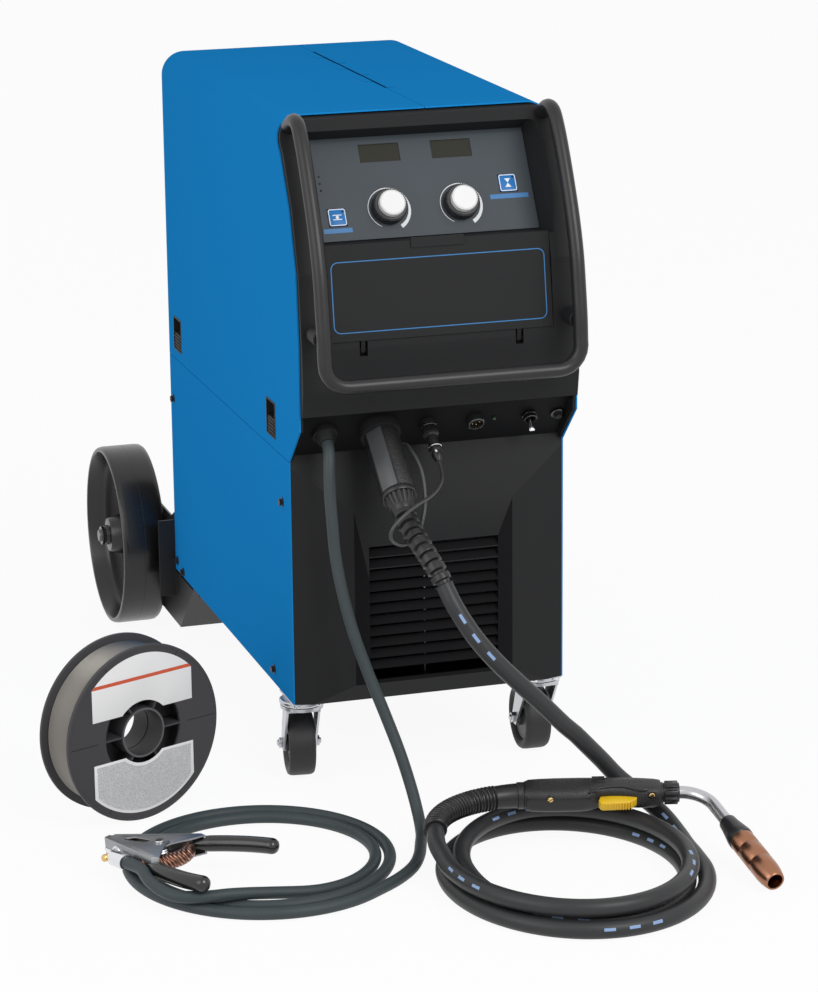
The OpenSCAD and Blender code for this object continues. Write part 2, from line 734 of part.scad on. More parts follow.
switch_throw = 18;
toggle_axle_r = 2;
module power_switch() color(zinc) on_wall(switch_x) rotate([switch_throw, 0, 0]) {
    half = sqrt(pow(bush_r - 1.2, 2) - pow(toggle_axle_r, 2)) - 2 * running;
    rotate([0, 90, 0]) cylinder(h = 2 * half, r = toggle_axle_r, center = true);
    cylinder(h = 15, r1 = 1.4, r2 = 2);
    translate([0, 0, 17]) sphere(3);
}

module breaker_button() color(black) on_wall(breaker_x) {
    translate([0, 0, -5.5]) cylinder(h = 13, r = 3.5);
}

screw_sites = [[31, 332], [81, 122], [cab_d - 15, 330], [cab_d - 12, 119], [cab_d - 42, 112]];
module hex_screw() {
    cylinder(h = 1, r = 5.5);
    translate([0, 0, 1]) cylinder(h = 3.2, r = 4, $fn = 6);
}
module screws() color(black) {
    for (p = screw_sites) {
        on_left(p[0], p[1]) hex_screw();
        mirror([1, 0, 0]) on_left(p[0], p[1]) hex_screw();
    }
    for (x = [-130, -45, 45, 130]) for (z = [side_low + 16, cab_top - 60])
        translate([x, z < gear_top ? cab_d + seat + gear_t : cab_d, z])
            rotate([-90, 0, 0]) hex_screw();
}

/* Inside */
module transformer() {
    low = side_low + sheet;
    color([0.35, 0.35, 0.37]) difference() {
        block([35, 170, low + 20], [140, 330, low + 150]);
        for (y = [196, 262]) block([30, y, low + 46], [145, y + 42, low + 124]);
    }
    color(copper) difference() {
        block([28, 198, low + 48], [147, 302, low + 122]);
        block([27, 240, low + 20], [148, 260, low + 150]);
    }
    color(zinc) for (y = [180, 306]) block([35, y, low], [140, y + 14, low + 20]);
}

module power_board() {
    x0 = divider_x + sheet;
    high = cab_top - 50;
    color([0.12, 0.35, 0.2]) block([x0 + 14, 70, high - 230], [x0 + 16, 360, high]);
    color(zinc) {
        for (y = [80, 350]) for (z = [high - 220, high - 10]) rod([x0, y, z], [x0 + 14, y, z], 4);
        // Finned heat sink
        block([x0 + 16, 90, high - 170], [x0 + 24, 240, high - 20]);
        for (k = [0:9]) block([x0 + 24, 94 + 15 * k, high - 170], [x0 + 70, 97 + 15 * k, high - 20]);
    }
    color(black) for (k = [0:2]) translate([x0 + 16, 300, high - 180 + 60 * k]) rotate([0, 90, 0])
        cylinder(h = 75, r = 24);
}

module fan_motor() color(zinc) {
    ring_y = cab_d - 60;
    difference() {
        union() {
            block([divider_x + sheet, ring_y, fan_z - 76], [inner, ring_y + 2, fan_z + 76]);
            translate([fan_x, ring_y + 26, fan_z]) rotate([90, 0, 0]) cylinder(h = 24, r = fan_r + 4);
        }
        translate([fan_x, ring_y + 27, fan_z]) rotate([90, 0, 0]) cylinder(h = 29, r = fan_r + 2);
    }
    translate([fan_x, ring_y - 4, fan_z]) rotate([90, 0, 0]) cylinder(h = 40, r = 26);
    translate([fan_x, ring_y + 15, fan_z]) rotate([90, 0, 0]) cylinder(h = 20, r = 3);
    for (a = [0, 120, 240]) rotate_about([fan_x, 0, fan_z], a) {
        block([fan_x - 4, ring_y - 6, fan_z + 20], [fan_x + 4, ring_y - 3, fan_z + fan_r + 5]);
        block([fan_x - 4, ring_y - 6, fan_z + fan_r + 2], [fan_x + 4, ring_y, fan_z + fan_r + 5]);
    }
}
module rotate_about(p, a) translate(p) rotate([0, a, 0]) translate(-p) children();

module fan_blade() color(black) translate([fan_x, cab_d - 60 + 4, fan_z]) rotate([-90, 0, 0]) {
    difference() {
        union() {
            cylinder(h = 12, r = 16);
            for (k = [0:4]) rotate([0, 0, 72 * k]) translate([14, 0, 6]) rotate([28, 0, 0])
                translate([0, -13, -1]) cube([fan_r - 18, 26, 2]);
        }
        translate([0, 0, -1]) cylinder(h = 14, r = 3 + running);
    }
}

// Drive housing on the divider, its motor behind, and the wire guides in line
module wire_drive() {
    x0 = wire_x + 14;
    color(black) difference() {
        block([x0, drive_y - 44, drive_z - 50], [divider_x, drive_y + 60, drive_z + 6]);
        translate([x0 - 1, drive_y, drive_z - roll_r - wire_d / 2]) rotate([0, 90, 0])
            cylinder(h = 14, r = 5.3);
    }
    color(zinc) {
        // Arm pivot and the tension screw's seat
        rod([x0 - 22, drive_y + 40, drive_z + 12], [x0, drive_y + 40, drive_z + 12], 4);
        block([x0, drive_y + 32, drive_z + 6], [x0 + 8, drive_y + 48, drive_z + 20]);
        rod([wire_x, drive_y - 38, drive_z], [wire_x, drive_y - 20, drive_z], 4);
        rod([wire_x, drive_y + 20, drive_z], [wire_x, drive_y + 50, drive_z], 4);
        for (y = [drive_y - 36, drive_y + 24]) block([wire_x + 2, y, drive_z - 14],
            [x0, y + 12, drive_z - 3]);
        for (y = [drive_y - 36, drive_y + 24]) block([wire_x - 3, y, drive_z - 14],
            [wire_x + 3, y + 12, drive_z - 3.4]);
    }
    color(zinc) rod([divider_x, drive_y + 30, drive_z], [divider_x + 96, drive_y + 30, drive_z], 18);
}

function roll_centre() = [wire_x, drive_y, drive_z - roll_r - wire_d / 2];
function idler_centre() = [wire_x, drive_y, drive_z + roll_r + wire_d / 2];

module roll_ring() rotate([0, 90, 0]) rotate_extrude() polygon([[4.05, -6], [roll_r, -6],
    [roll_r, -1.2], [roll_r - 0.6, 0], [roll_r, 1.2], [roll_r, 6], [4.05, 6]]);

module drive_roll() color(zinc) {
    translate(roll_centre()) roll_ring();
    rod(roll_centre() - [8, 0, 0], roll_centre() + [7.5, 0, 0], 4.05);
    rod(roll_centre() + [7.5, 0, 0], roll_centre() + [24, 0, 0], 5.2);
}

module idler_roll() color(zinc) translate(idler_centre()) roll_ring();

module pressure_arm() color(black) {
    x0 = wire_x - 8;
    difference() {
        union() {
            prism_x(x0 - 5, x0, [[drive_y + 48, drive_z + 4], [drive_y + 48, drive_z + 20],
                [drive_y + 10, drive_z + 32], [drive_y - 40, drive_z + 32],
                [drive_y - 40, drive_z + 22], [drive_y - 14, drive_z + 8], [drive_y + 30, drive_z + 4]]);
            block([x0 - 5, drive_y - 44, drive_z + 24], [wire_x + 6, drive_y - 26, drive_z + 32]);
        }
        rod([x0 - 8, drive_y + 40, drive_z + 12], [x0 + 4, drive_y + 40, drive_z + 12],
            4 + running);
        translate([wire_x, drive_y - 35, drive_z + 20]) cylinder(h = 20, r = 3 + running);
    }
    rod(idler_centre() - [8, 0, 0], idler_centre() + [7, 0, 0], 4);
}

module tension_knob() color(black) translate([wire_x, drive_y - 35, drive_z]) {
    translate([0, 0, 34]) cylinder(h = 26, r = 9);
    translate([0, 0, 24.5]) cylinder(h = 12, r = 3);
}

module spool_hub() color(black) {
    difference() {
        rod([divider_x - 3 - hub_l, hub_y, hub_z], [divider_x - 3, hub_y, hub_z], hub_r);
        rod([divider_x - hub_l - 8, hub_y, hub_z], [divider_x, hub_y, hub_z], 6 + running);
    }
    difference() {
        rod([divider_x - 3, hub_y, hub_z], [divider_x - gap, hub_y, hub_z], 34);
        rod([divider_x - 8, hub_y, hub_z], [divider_x + 1, hub_y, hub_z], 6 + running);
    }
}

/* Casters and running gear */
race_top = side_low - caster_plate;
module caster_plates() color(zinc) for (s = [-1, 1]) translate([s * caster_x, caster_y, 0]) {
    translate([-caster_plate_w / 2, -29, race_top])
        cube([caster_plate_w, 58, caster_plate]);
    translate([0, 0, race_top - race_h + 3]) difference() {
        cylinder(h = race_h - 3, r = race_r);
        translate([0, 0, -1]) cylinder(h = 4, r = race_r - 5);
    }
    translate([0, 0, race_top - race_h - 6]) cylinder(h = race_h + 6 + caster_plate + 4, r = 4.5);
    translate([0, 0, race_top - race_h - 9]) cylinder(h = 4.8, r = 7);
}

module caster_fork(side) color(zinc) at_caster(side) {
    top = race_top - race_h + 3 - gap;
    leg = caster_w / 2 + 1.2;
    difference() {
        union() {
            translate([0, 0, top - 4]) cylinder(h = 4, r = race_r - 0.6);
            block([-leg - fork_t, -16, top - 4 - fork_t], [leg + fork_t, 18, top - 4]);
            for (s = [-1, 1]) translate([s * (leg + fork_t / 2), 0, 0]) prism_x(-fork_t / 2,
                fork_t / 2, [[-16, top - 4], [18, top - 4], [caster_trail + 9, caster_r],
                    [caster_trail + 6, caster_r - 8], [caster_trail - 6, caster_r - 8],
                    [caster_trail - 10, caster_r]]);
        }
        translate([0, 0, top - 12]) cylinder(h = 14, r = 4.5 + running);
    }
    rod([-leg - fork_t - 3, caster_trail, caster_r], [leg + fork_t + 3, caster_trail, caster_r], 4);
}
module caster_fork_left() caster_fork(-1);
module caster_fork_right() caster_fork(1);

module caster_wheel(side) color(black) at_caster(side) translate([0, caster_trail, caster_r])
    rotate([0, 90, 0]) rotate_extrude() polygon([[4 + running, -caster_w / 2 - 0.8],
        [10, -caster_w / 2 - 0.8], [10, -caster_w / 2 + 4], [caster_r - 9, -caster_w / 2 + 4],
        [caster_r - 7, -caster_w / 2], [caster_r - 3, -caster_w / 2],
        [caster_r, -caster_w / 2 + 4], [caster_r, caster_w / 2 - 4], [caster_r - 3, caster_w / 2],
        [caster_r - 7, caster_w / 2], [caster_r - 9, caster_w / 2 - 4], [10, caster_w / 2 - 4],
        [10, caster_w / 2 + 0.8], [4 + running, caster_w / 2 + 0.8]]);
module caster_wheel_left() caster_wheel(-1);
module caster_wheel_right() caster_wheel(1);

gear_front = cab_d - 94;
module running_gear() color(black) {
    y0 = cab_d + seat;
    difference() {
        union() {
            both_sides() prism_x(hw - gear_t, hw, [[gear_front, side_low - gear_t],
                [gear_front + 77, tray_low], [tray_end, tray_low], [tray_end, tray_low + 30],
                [axle_y + 50, tray_low + 30], [axle_y + 20, gear_top], [y0, gear_top],
                [y0, side_low - gear_t]]);
            block([-hw, gear_front + 77, tray_low], [hw, tray_end, tray_low + gear_t]);
            prism_x(-hw, hw, [[gear_front, side_low - gear_t], [gear_front + 4, side_low - gear_t],
                [gear_front + 79, tray_low + gear_t], [gear_front + 77, tray_low]]);
            block([-hw, gear_front - 26, side_low - gear_t], [hw, gear_front + 4, side_low]);
            block([-180, y0, 70], [180, y0 + gear_t, gear_top]);
            both_sides() prism_x(hw - gear_t, hw, [[y0, gear_top - 1], [y0 + 22, gear_top - 1],
                [y0 + 4, gear_top + 9], [y0, gear_top + 9]]);
            block([-hw, tray_end - gear_t, tray_low], [hw, tray_end, tray_low + 30]);
        }
        both_sides() rod([hw - gear_t - 1, axle_y, axle_z], [hw + 1, axle_y, axle_z], axle_r + seat);
    }
}

module stub_axles() color(zinc) both_sides() {
    rod([hw - gear_t - 9, axle_y, axle_z], [hw - gear_t, axle_y, axle_z], 13);
    rod([hw - gear_t - 1, axle_y, axle_z], [axle_end, axle_y, axle_z], axle_r);
    rod([wheel_x + wheel_w + 1, axle_y, axle_z], [axle_end - 3, axle_y, axle_z], axle_r + 4);
}

module rear_wheel() color(black) translate([wheel_x, axle_y, axle_z]) rotate([0, 90, 0])
    rotate_extrude($fn = 96) polygon([[axle_r + running, 0], [26, 0], [30, 14], [wheel_r - 16, 18],
        [wheel_r - 12, 2], [wheel_r - 5, 0], [wheel_r, 5], [wheel_r, wheel_w - 5],
        [wheel_r - 3, wheel_w], [wheel_r - 7, wheel_w], [wheel_r - 12, wheel_w - 26],
        [34, 26], [22, wheel_w - 2], [axle_r + running, wheel_w]]);
module rear_wheel_right() rear_wheel();
module rear_wheel_left() mirror([1, 0, 0]) rear_wheel();

bracket_z = 600;
module cylinder_bracket() color(black) {
    y0 = cab_d;
    difference() {
        block([-120, y0, bracket_z], [120, y0 + 62, bracket_z + gear_t]);
        translate([0, y0 + 130, bracket_z - 1]) cylinder(h = gear_t + 2, r = 115);
    }
    block([-120, y0, bracket_z - 30], [120, y0 + gear_t, bracket_z]);
    both_sides() block([117, y0, bracket_z], [120, y0 + 62, bracket_z + 24]);
}

module rear_fittings() {
    color(black) translate([gland_at[0], cab_d - 10, gland_at[1]]) rotate([-90, 0, 0]) {
        cylinder(h = 24, r = 8);
        translate([0, 0, 10]) cylinder(h = 8, r = 12);
        translate([0, 0, 5]) cylinder(h = 5 - sheet, r = 11);
    }
    color([0.75, 0.6, 0.3]) translate([gas_at[0], cab_d - 10, gas_at[1]]) rotate([-90, 0, 0]) {
        cylinder(h = 28, r = 7.9);
        translate([0, 0, 10]) cylinder(h = 6, r = 11);
        translate([0, 0, 4]) cylinder(h = 6 - sheet, r = 11);
    }
}

/* Gun and its cable */
body_l = 86;
collar_l = 32;
connector_start = 4 + seat;
module gun_connector() color(black) on_wall(connector_x) {
    translate([0, 0, connector_start]) cylinder(h = body_l - connector_start, r = connector_d / 2);
    // Collar nut with grip flats
    translate([0, 0, body_l]) difference() {
        cylinder(h = collar_l, r1 = connector_d / 2 - 1, r2 = connector_d / 2 - 6);
        for (a = [0:24:336]) rotate([0, 0, a]) translate([connector_d / 2 - 1, 0, 3])
            cylinder(h = collar_l, r = 1.1);
    }
}

function wall_point(x, d) = [x, connector_y - d * cos(wall_tilt), connector_z - d * sin(wall_tilt)];
relief_rings = 9;
function relief_path() = let (a = wall_point(connector_x, body_l + collar_l), b = gun_route[0],
    out = [0, -cos(wall_tilt), -sin(wall_tilt)], along = unit(gun_route[1] - gun_route[0]))
    bezier(a, a + 28 * out, b - 34 * along, b, relief_rings * 4);
module strain_relief() color(black) {
    path = relief_path();
    taper = [for (i = [0:len(path) - 1]) 12 - 1.6 * i / (len(path) - 1)
        - ((i % 4 == 1 || i % 4 == 2) ? 2.4 : 0)];
    tube(path, [for (i = [0:len(path) - 1]) i == 0 || i == len(path) - 1 ? 10 : taper[i]], 12);
}

module gun_cable_run() color(black) tube(gun_route, gun_cable_d / 2, 10);

// Coil of the gun cable: it spirals in on the floor, climbs once, and spirals out on top
coil_centre = [45, -342];
coil_half = [141, 164];
coil_pitch = 20.5;
coil_turns = 2.5;
coil_reverse = 1.5;
coil_rise = 19.8;
function gun_coil_point(t) = let (e = t < coil_reverse ? -coil_pitch * t
        : -coil_pitch * (2 * coil_reverse - t),
    z = 9.6 + coil_rise * min(1, max(0, 2 * (t - coil_reverse) + 0.5)))
    [coil_centre[0] + (coil_half[0] + e) * cos(360 * t), coil_centre[1]
        - (coil_half[1] + e) * sin(360 * t), z];
gun_coil_path = concat([for (k = [0:24 * coil_turns]) gun_coil_point(k / 24)], gun_coil_tail);
gun_coil_gap = self_gap(gun_coil_path, gun_cable_d, 12);
echo(str("gun cable coil, least gap to itself: ", gun_coil_gap, " mm"));
module gun_cable_coil() color(black) tube(gun_coil_path, gun_cable_d / 2, 6);

boot_ribs = 24;
function boot_path() = let (a = gun_coil_tail[2], b = gun_at,
    along = unit(gun_coil_tail[2] - gun_coil_tail[1]), back = [cos(gun_heading), sin(gun_heading), 0])
    bezier(a, a + 40 * along, b - 45 * back, b, 2 * boot_ribs);
module gun_boot() color(black) {
    path = boot_path();
    tube(path, [for (i = [0:len(path) - 1]) let (s = i / (len(path) - 1))
        11.2 + 1.6 * s + (i % 2 == 0 ? 0 : 1.3)], 8);
}

trigger_from = 80;
trigger_to = 122;
module gun_grip() color(black) at_gun() difference() {
    loft([[0, 12, 14, 14], [6, 14, 16, 16], [30, 14, 17, 18], [62, 14, 17, 18],
        [76, 14, 17, 14], [100, 13.5, 17, 13], [122, 13, 16, 14], [140, 12.5, 14, 14],
        [grip_l, 12, 13, 13]]);
    block([trigger_from - 2, -5.5, -30], [trigger_to + 2, 5.5, -6]);
}

// The trigger swings about a pin at its front end
module gun_trigger() color([0.95, 0.75, 0.1]) at_gun() {
    prism_y(-4.9, 4.9) polygon([[trigger_to, -12], [trigger_to + 1, -8], [trigger_to - 6, -7.5],
        [trigger_from + 2, -11], [trigger_from, -18], [trigger_from + 3, -23],
        [trigger_from + 30, -22], [trigger_to - 4, -15]]);
}

module gun_neck() at_gun() {
    color(black) difference() {
        translate([grip_l, 0, 0]) rotate([0, 90, 0]) cylinder(h = nut_l, r = 12.5);
        for (a = [0:30:330]) rotate([a, 0, 0]) translate([grip_l + 2, 0, 12.5]) rotate([0, 90, 0])
            cylinder(h = nut_l, r = 1.2);
    }
    bend = [for (k = [0:7]) let (a = neck_bend * k / 7)
        [grip_l + nut_l + neck_r * sin(a), 0, -neck_r * (1 - cos(a))]];
    out = [cos(neck_bend), 0, -sin(neck_bend)];
    color(zinc) tube(concat([bend[0] - [4, 0, 0]], bend, [bend[7] + neck_end * out]),
        neck_d / 2, 14);
}
// Local Z runs along the nozzle, from the end of the neck's bend
module at_neck_end() translate([grip_l + nut_l + neck_r * sin(neck_bend), 0,
    -neck_r * (1 - cos(neck_bend))]) rotate([0, 90 + neck_bend, 0]) children();

insulator_l = 32;
nozzle_l = 76;
module gun_nozzle() at_gun() at_neck_end() translate([0, 0, neck_end]) {
    color(black) cylinder(h = insulator_l, r1 = 10, r2 = nozzle_d / 2);
    color(copper) translate([0, 0, insulator_l]) difference() {
        union() {
            cylinder(h = nozzle_l - 18, r = nozzle_d / 2);
            translate([0, 0, nozzle_l - 18]) cylinder(h = 18, r1 = nozzle_d / 2, r2 = nozzle_d / 2 - 3.4);
        }
        translate([0, 0, 14]) cylinder(h = nozzle_l, r = nozzle_d / 2 - 5.4);
    }
    color(copper) translate([0, 0, insulator_l + 13]) {
        cylinder(h = 30, r = 5);
        translate([0, 0, 30]) cylinder(h = 22, r1 = 4, r2 = 3);
    }
}

plug_l = 46;
module trigger_plug() color(zinc) on_wall(trigger_x) {
    translate([0, 0, 2 + seat]) cylinder(h = 14, r = 7);
    translate([0, 0, 6 + seat]) cylinder(h = 12, r = 9);
    translate([0, 0, 16]) cylinder(h = plug_l - 16, r = 6.2);
    translate([0, 0, plug_l - 12]) cylinder(h = 8, r = 8);
    translate([0, 0, plug_l]) cylinder(h = 8, r1 = 6, r2 = 3);
}
module trigger_lead() color(black) tube(lead_route, lead_d / 2, 8);

/* Work cable and clamp */
module work_cable_run() color([0.22, 0.27, 0.28]) tube(work_route, work_cable_d / 2, 10);

// Flat spiral of the work cable on the floor, then its tail up to the clamp
work_centre = [-249, -195];
work_start = 50;
work_half = [149, 156];
work_pitch = [15.2, 20];
work_turns = 2.11;
function work_coil_point(t) = let (a = -work_start - 360 * t)
    [work_centre[0] + (work_half[0] - work_pitch[0] * t) * cos(a),
        work_centre[1] + (work_half[1] - work_pitch[1] * t) * sin(a),
        6.6 + 5.4 * pow(max(0, (t - work_turns) * 8 + 1), 2)];
work_coil_path = concat([for (k = [0:24 * work_turns]) work_coil_point(k / 24)], work_coil_tail);
work_coil_gap = self_gap(work_coil_path, work_cable_d, 12);
echo(str("work cable coil, least gap to itself: ", work_coil_gap, " mm"));
module work_cable_coil() color([0.22, 0.27, 0.28]) tube(work_coil_path, work_cable_d / 2, 6);

// One arm of the clamp, on the side of +Y: a channel, its web outside
arm_outline = [[66, 1], [66, 9], [-22, 44], [-30, 41], [-12, 6], [-8, -7], [8, -7], [14, 4], [40, 5]];
web_outline = [[66, 6.6], [66, 9], [-22, 44], [-30, 41], [-29, 38.6], [-21, 41.4]];
// Where the bolt stands on the web, and the web's own directions
bolt_at = [42, 18.5, 0];
web_along = [0.929, -0.370, 0];
web_out = [0.370, 0.929, 0];
ear_t = 2;
module clamp_arm(level) {
    for (s = [-1, 1]) translate([0, 0, s * level - (s > 0 ? ear_t : 0)]) linear_extrude(ear_t)
        polygon(arm_outline);
    translate([0, 0, -level]) linear_extrude(2 * level) polygon(web_outline);
}
grip_route = [[-18, 37, 0], [-32, 45, 0], [-50, 52, 0], [-72, 58, 0], [-92, 61, 0], [-108, 62, 0]];
module clamp_grip() tube(grip_route, [6.5, 8.4, 8.6, 8.6, 8.2, 6.2], 12);
braid_route = [[-6, 36.5, 0], [-18, 28, 0], [-26, 16, 0], [-29, 3, 0], [-27, -10, 0]];

module work_clamp_base() at_clamp() {
    color(zinc) difference() {
        clamp_arm(clamp_h / 2);
        translate([0, 0, -20]) cylinder(h = 40, r = clamp_pin_d / 2);
    }
    color(zinc) translate([0, 0, -clamp_h / 2 - 1.5]) cylinder(h = clamp_h + 3, r = clamp_pin_d / 2);
    color(black) clamp_grip();
    color(copper) {
        block([44, 1, -7], [64, 9, 7]);
        tube(braid_route, 5.5, 10);
        // Torsion spring, drawn as its outside
        cylinder(h = clamp_h - 4 * ear_t - 2, r = 9, center = true);
    }
    // Cable lug bolted to the web's outside
    color(zinc) {
        rod(bolt_at - 3 * web_out, bolt_at + 19 * web_out, 4);
        rod(bolt_at - 1 * web_out, bolt_at + 3 * web_out, 9);
        rod(bolt_at + 3 * web_out, bolt_at + 9 * web_out, 7);
        rod(lug_point(6), lug_point(30), work_cable_d / 2 + 1.5);
    }
}
function lug_point(d) = bolt_at + (work_cable_d / 2 + 1.8) * web_out - d * web_along;

module work_clamp_jaw() at_clamp() mirror([0, 1, 0]) {
    color(zinc) difference() {
        clamp_arm(clamp_h / 2 - ear_t - gap);
        translate([0, 0, -20]) cylinder(h = 40, r = clamp_pin_d / 2 + running);
    }
    color(black) clamp_grip();
    color(copper) block([44, 1, -7], [64, 9, 7]);
}

/* Wire spool */
module wire_spool() color(black) at_spool() difference() {
    rotate_extrude($fn = 96) polygon([[spool_bore_r, -spool_w / 2], [spool_r, -spool_w / 2],
        [spool_r, -spool_w / 2 + flange_t], [core_r, -spool_w / 2 + flange_t],
        [core_r, spool_w / 2 - flange_t], [spool_r, spool_w / 2 - flange_t],
        [spool_r, spool_w / 2], [spool_bore_r, spool_w / 2]]);
    // Pockets between the spokes, from both faces
    for (a = [0:60:300]) rotate([0, 0, a]) for (s = [-1, 1]) translate([0, 0, s * spool_w / 2])
        linear_extrude(24, center = true) polygon([for (b = [8:11:52]) 54 * [cos(b), sin(b)],
            for (b = [52:-11:8]) 34 * [cos(b), sin(b)]]);
}

wind_d = (spool_w - 2 * flange_t - 1) / winding_turns - 0.5;
winding_path = [for (k = [0:24 * winding_turns]) let (t = k / 24,
    z = -(spool_w - 2 * flange_t - 1 - wind_d) / 2
        + (spool_w - 2 * flange_t - 1 - wind_d) * t / winding_turns)
    [winding_r * cos(360 * t), winding_r * sin(360 * t), z]];
winding_gap = self_gap(winding_path, wind_d, 12);
echo(str("spool winding, least gap to itself: ", winding_gap, " mm"));
module spool_wire() color(zinc) at_spool() {
    difference() {
        cylinder(h = spool_w - 2 * flange_t - 2 * gap, r = winding_r - wind_d / 2 - 0.3, center = true);
        cylinder(h = spool_w, r = core_r + gap, center = true);
    }
    tube(winding_path, wind_d / 2, 6);
}

stand() base_pan();
stand() right_wrapper();
stand() loading_door();
stand() lower_left_panel();
stand() rear_panel();
stand() lower_front();
stand() front_bezel();
stand() control_panel();
stand() display_windows();
stand() knob_left();
stand() knob_right();
stand() button_left();
stand() button_right();
stand() front_flap();
stand() carry_handle();
stand() sockets();
stand() power_switch();
stand() breaker_button();
stand() latch_front();
stand() latch_rear();
stand() screws();
stand() centre_divider();
stand() transformer();
stand() power_board();
stand() fan_motor();
stand() fan_blade();
stand() wire_drive();
stand() drive_roll();
stand() idler_roll();
stand() pressure_arm();
stand() tension_knob();
stand() spool_hub();
stand() caster_plates();
stand() caster_fork_left();
stand() caster_fork_right();
stand() caster_wheel_left();
stand() caster_wheel_right();
stand() running_gear();
stand() stub_axles();
stand() rear_wheel_left();
stand() rear_wheel_right();
stand() cylinder_bracket();
stand() rear_fittings();
stand() gun_connector();
stand() strain_relief();
stand() gun_cable_run();
stand() gun_cable_coil();
stand() gun_boot();
stand() gun_grip();
stand() gun_trigger();
stand() gun_neck();
stand() gun_nozzle();
stand() trigger_lead();
stand() trigger_plug();
stand() work_cable_run();
stand() work_cable_coil();
stand() work_clamp_base();
stand() work_clamp_jaw();
stand() wire_spool();
stand() spool_wire();
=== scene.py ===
# %% [markdown]
# # A wire-feed welder on its cart
# The machine is a sheet-metal cabinet on wheels, with moulded front pieces, a gun on a coiled
# cable, an earth cable with its clamp, and a spool of wire beside it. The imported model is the
# fixed frame. Every piece made here sits on it, in metres, in the place of a node or on one.

# %% Load the frame
import json
import math

import bmesh
import bpy
from mathutils import Matrix, Vector
from mathutils.geometry import interpolate_bezier


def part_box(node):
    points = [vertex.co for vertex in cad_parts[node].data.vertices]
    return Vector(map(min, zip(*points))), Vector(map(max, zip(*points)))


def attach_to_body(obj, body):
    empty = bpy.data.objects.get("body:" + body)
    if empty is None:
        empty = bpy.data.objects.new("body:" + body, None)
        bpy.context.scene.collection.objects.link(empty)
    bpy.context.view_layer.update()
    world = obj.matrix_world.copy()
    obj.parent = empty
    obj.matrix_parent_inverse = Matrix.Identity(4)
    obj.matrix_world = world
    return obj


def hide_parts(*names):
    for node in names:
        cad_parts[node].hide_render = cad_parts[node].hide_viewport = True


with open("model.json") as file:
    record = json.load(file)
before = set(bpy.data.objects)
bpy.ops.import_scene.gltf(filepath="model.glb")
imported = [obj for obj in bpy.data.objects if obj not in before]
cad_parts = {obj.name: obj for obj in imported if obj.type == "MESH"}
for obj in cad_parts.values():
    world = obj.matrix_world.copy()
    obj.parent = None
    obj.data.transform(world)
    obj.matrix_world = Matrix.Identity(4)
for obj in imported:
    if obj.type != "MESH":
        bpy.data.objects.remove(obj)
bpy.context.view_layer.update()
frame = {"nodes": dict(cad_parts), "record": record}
nodes = frame["nodes"]
slot_of = {part["node"]: part["material_slot"] for part in frame["record"]["subparts"]}
body_of = {node: body for body, members in frame["record"]["behaviour"]["bodies"].items()
           for node in members}

# %% [markdown]
# ## Places in the machine's own frame
# The source of the model counts in millimetres from the cabinet's centre plane, the edge of its
# lower front and the floor. One function carries such a point into the frame.

# %% Places
MM = 0.001
CABINET_DEPTH = 560
CABINET_TOP = 760
HALF_WIDTH = 159
SEAM_X = 14
WALL_TILT = 38
CONNECTOR_X = -62
CONNECTOR_Z = 421
CONNECTOR_Y = 5 - (56 - 26) * math.tan(math.radians(WALL_TILT))
GUN_AT = (32, -229, 56)
GUN_HEADING = -15.3
SIDES = {-1: "left", 1: "right"}

pan_low, pan_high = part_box("base_pan")
CENTRE_X = (pan_low.x + pan_high.x) / 2
FRONT_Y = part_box("rear_panel")[1].y - CABINET_DEPTH * MM


def spot(x, y, z):
    """A point of the machine's own frame, in millimetres, as a vector in the shared frame."""
    return Vector((CENTRE_X + x * MM, FRONT_Y + y * MM, z * MM))


def turned(axis, degrees):
    return Matrix.Rotation(math.radians(degrees), 4, axis)


# %% [markdown]
# ## Camera
# The camera stands about four metres away, a little above the machine and to its left, with a
# long lens, so that the upright edges lean only slightly.

# %% Camera
CAMERA_AZIMUTH = 17.1496
CAMERA_ELEVATION = 15.5224
CAMERA_ROLL = -0.5744
CAMERA_AT = spot(-1096.1, -3480.3, 1346.1)

camera_data = bpy.data.cameras.new("camera")
camera_data.lens = 123.77
camera_data.sensor_width = 36
camera_data.clip_end = 50
camera = bpy.data.objects.new("camera", camera_data)
camera.matrix_world = (Matrix.Translation(CAMERA_AT) @ turned("Z", -CAMERA_AZIMUTH)
                       @ turned("X", 90 - CAMERA_ELEVATION) @ turned("Z", CAMERA_ROLL))
bpy.context.scene.collection.objects.link(camera)
bpy.context.scene.camera = camera

# %% [markdown]
# ## Shader nodes
# Two helpers keep the node trees short. One gives inputs their values or links, one adds a node.

# %% Node helpers
def feed(node, inputs):
    """Gives each named input a value, or a link if it gets another node's output."""
    for label, value in inputs.items():
        if isinstance(value, bpy.types.NodeSocket):
            node.id_data.links.new(value, node.inputs[label])
        else:
            node.inputs[label].default_value = value
    return node.outputs


def add(tree, kind, inputs=None, **settings):
    """Adds a shader node and returns its outputs."""
    node = tree.nodes.new("ShaderNode" + kind)
    for label, value in settings.items():
        setattr(node, label, value)
    return feed(node, inputs or {})


def combine(tree, operation, first, second):
    return add(tree, "Math", {0: first, 1: second}, operation=operation)[0]


def seen_directly(tree):
    """One for the camera's rays and for reflections, nought for all others."""
    rays = add(tree, "LightPath")
    return combine(tree, "MAXIMUM", rays["Is Camera Ray"], rays["Is Glossy Ray"])


# %% [markdown]
# ## Floor and light
# A pale floor that looks white to the camera, and two soft lamps. The key lamp stands to the
# right and in front, because the cabinet's front is brighter than its side.

# %% Stage
WHITE_SHARE = 0.93
SKY_LIGHT = 0.55
bpy.context.scene.view_settings.view_transform = "Standard"


def link(obj):
    bpy.context.scene.collection.objects.link(obj)
    return obj


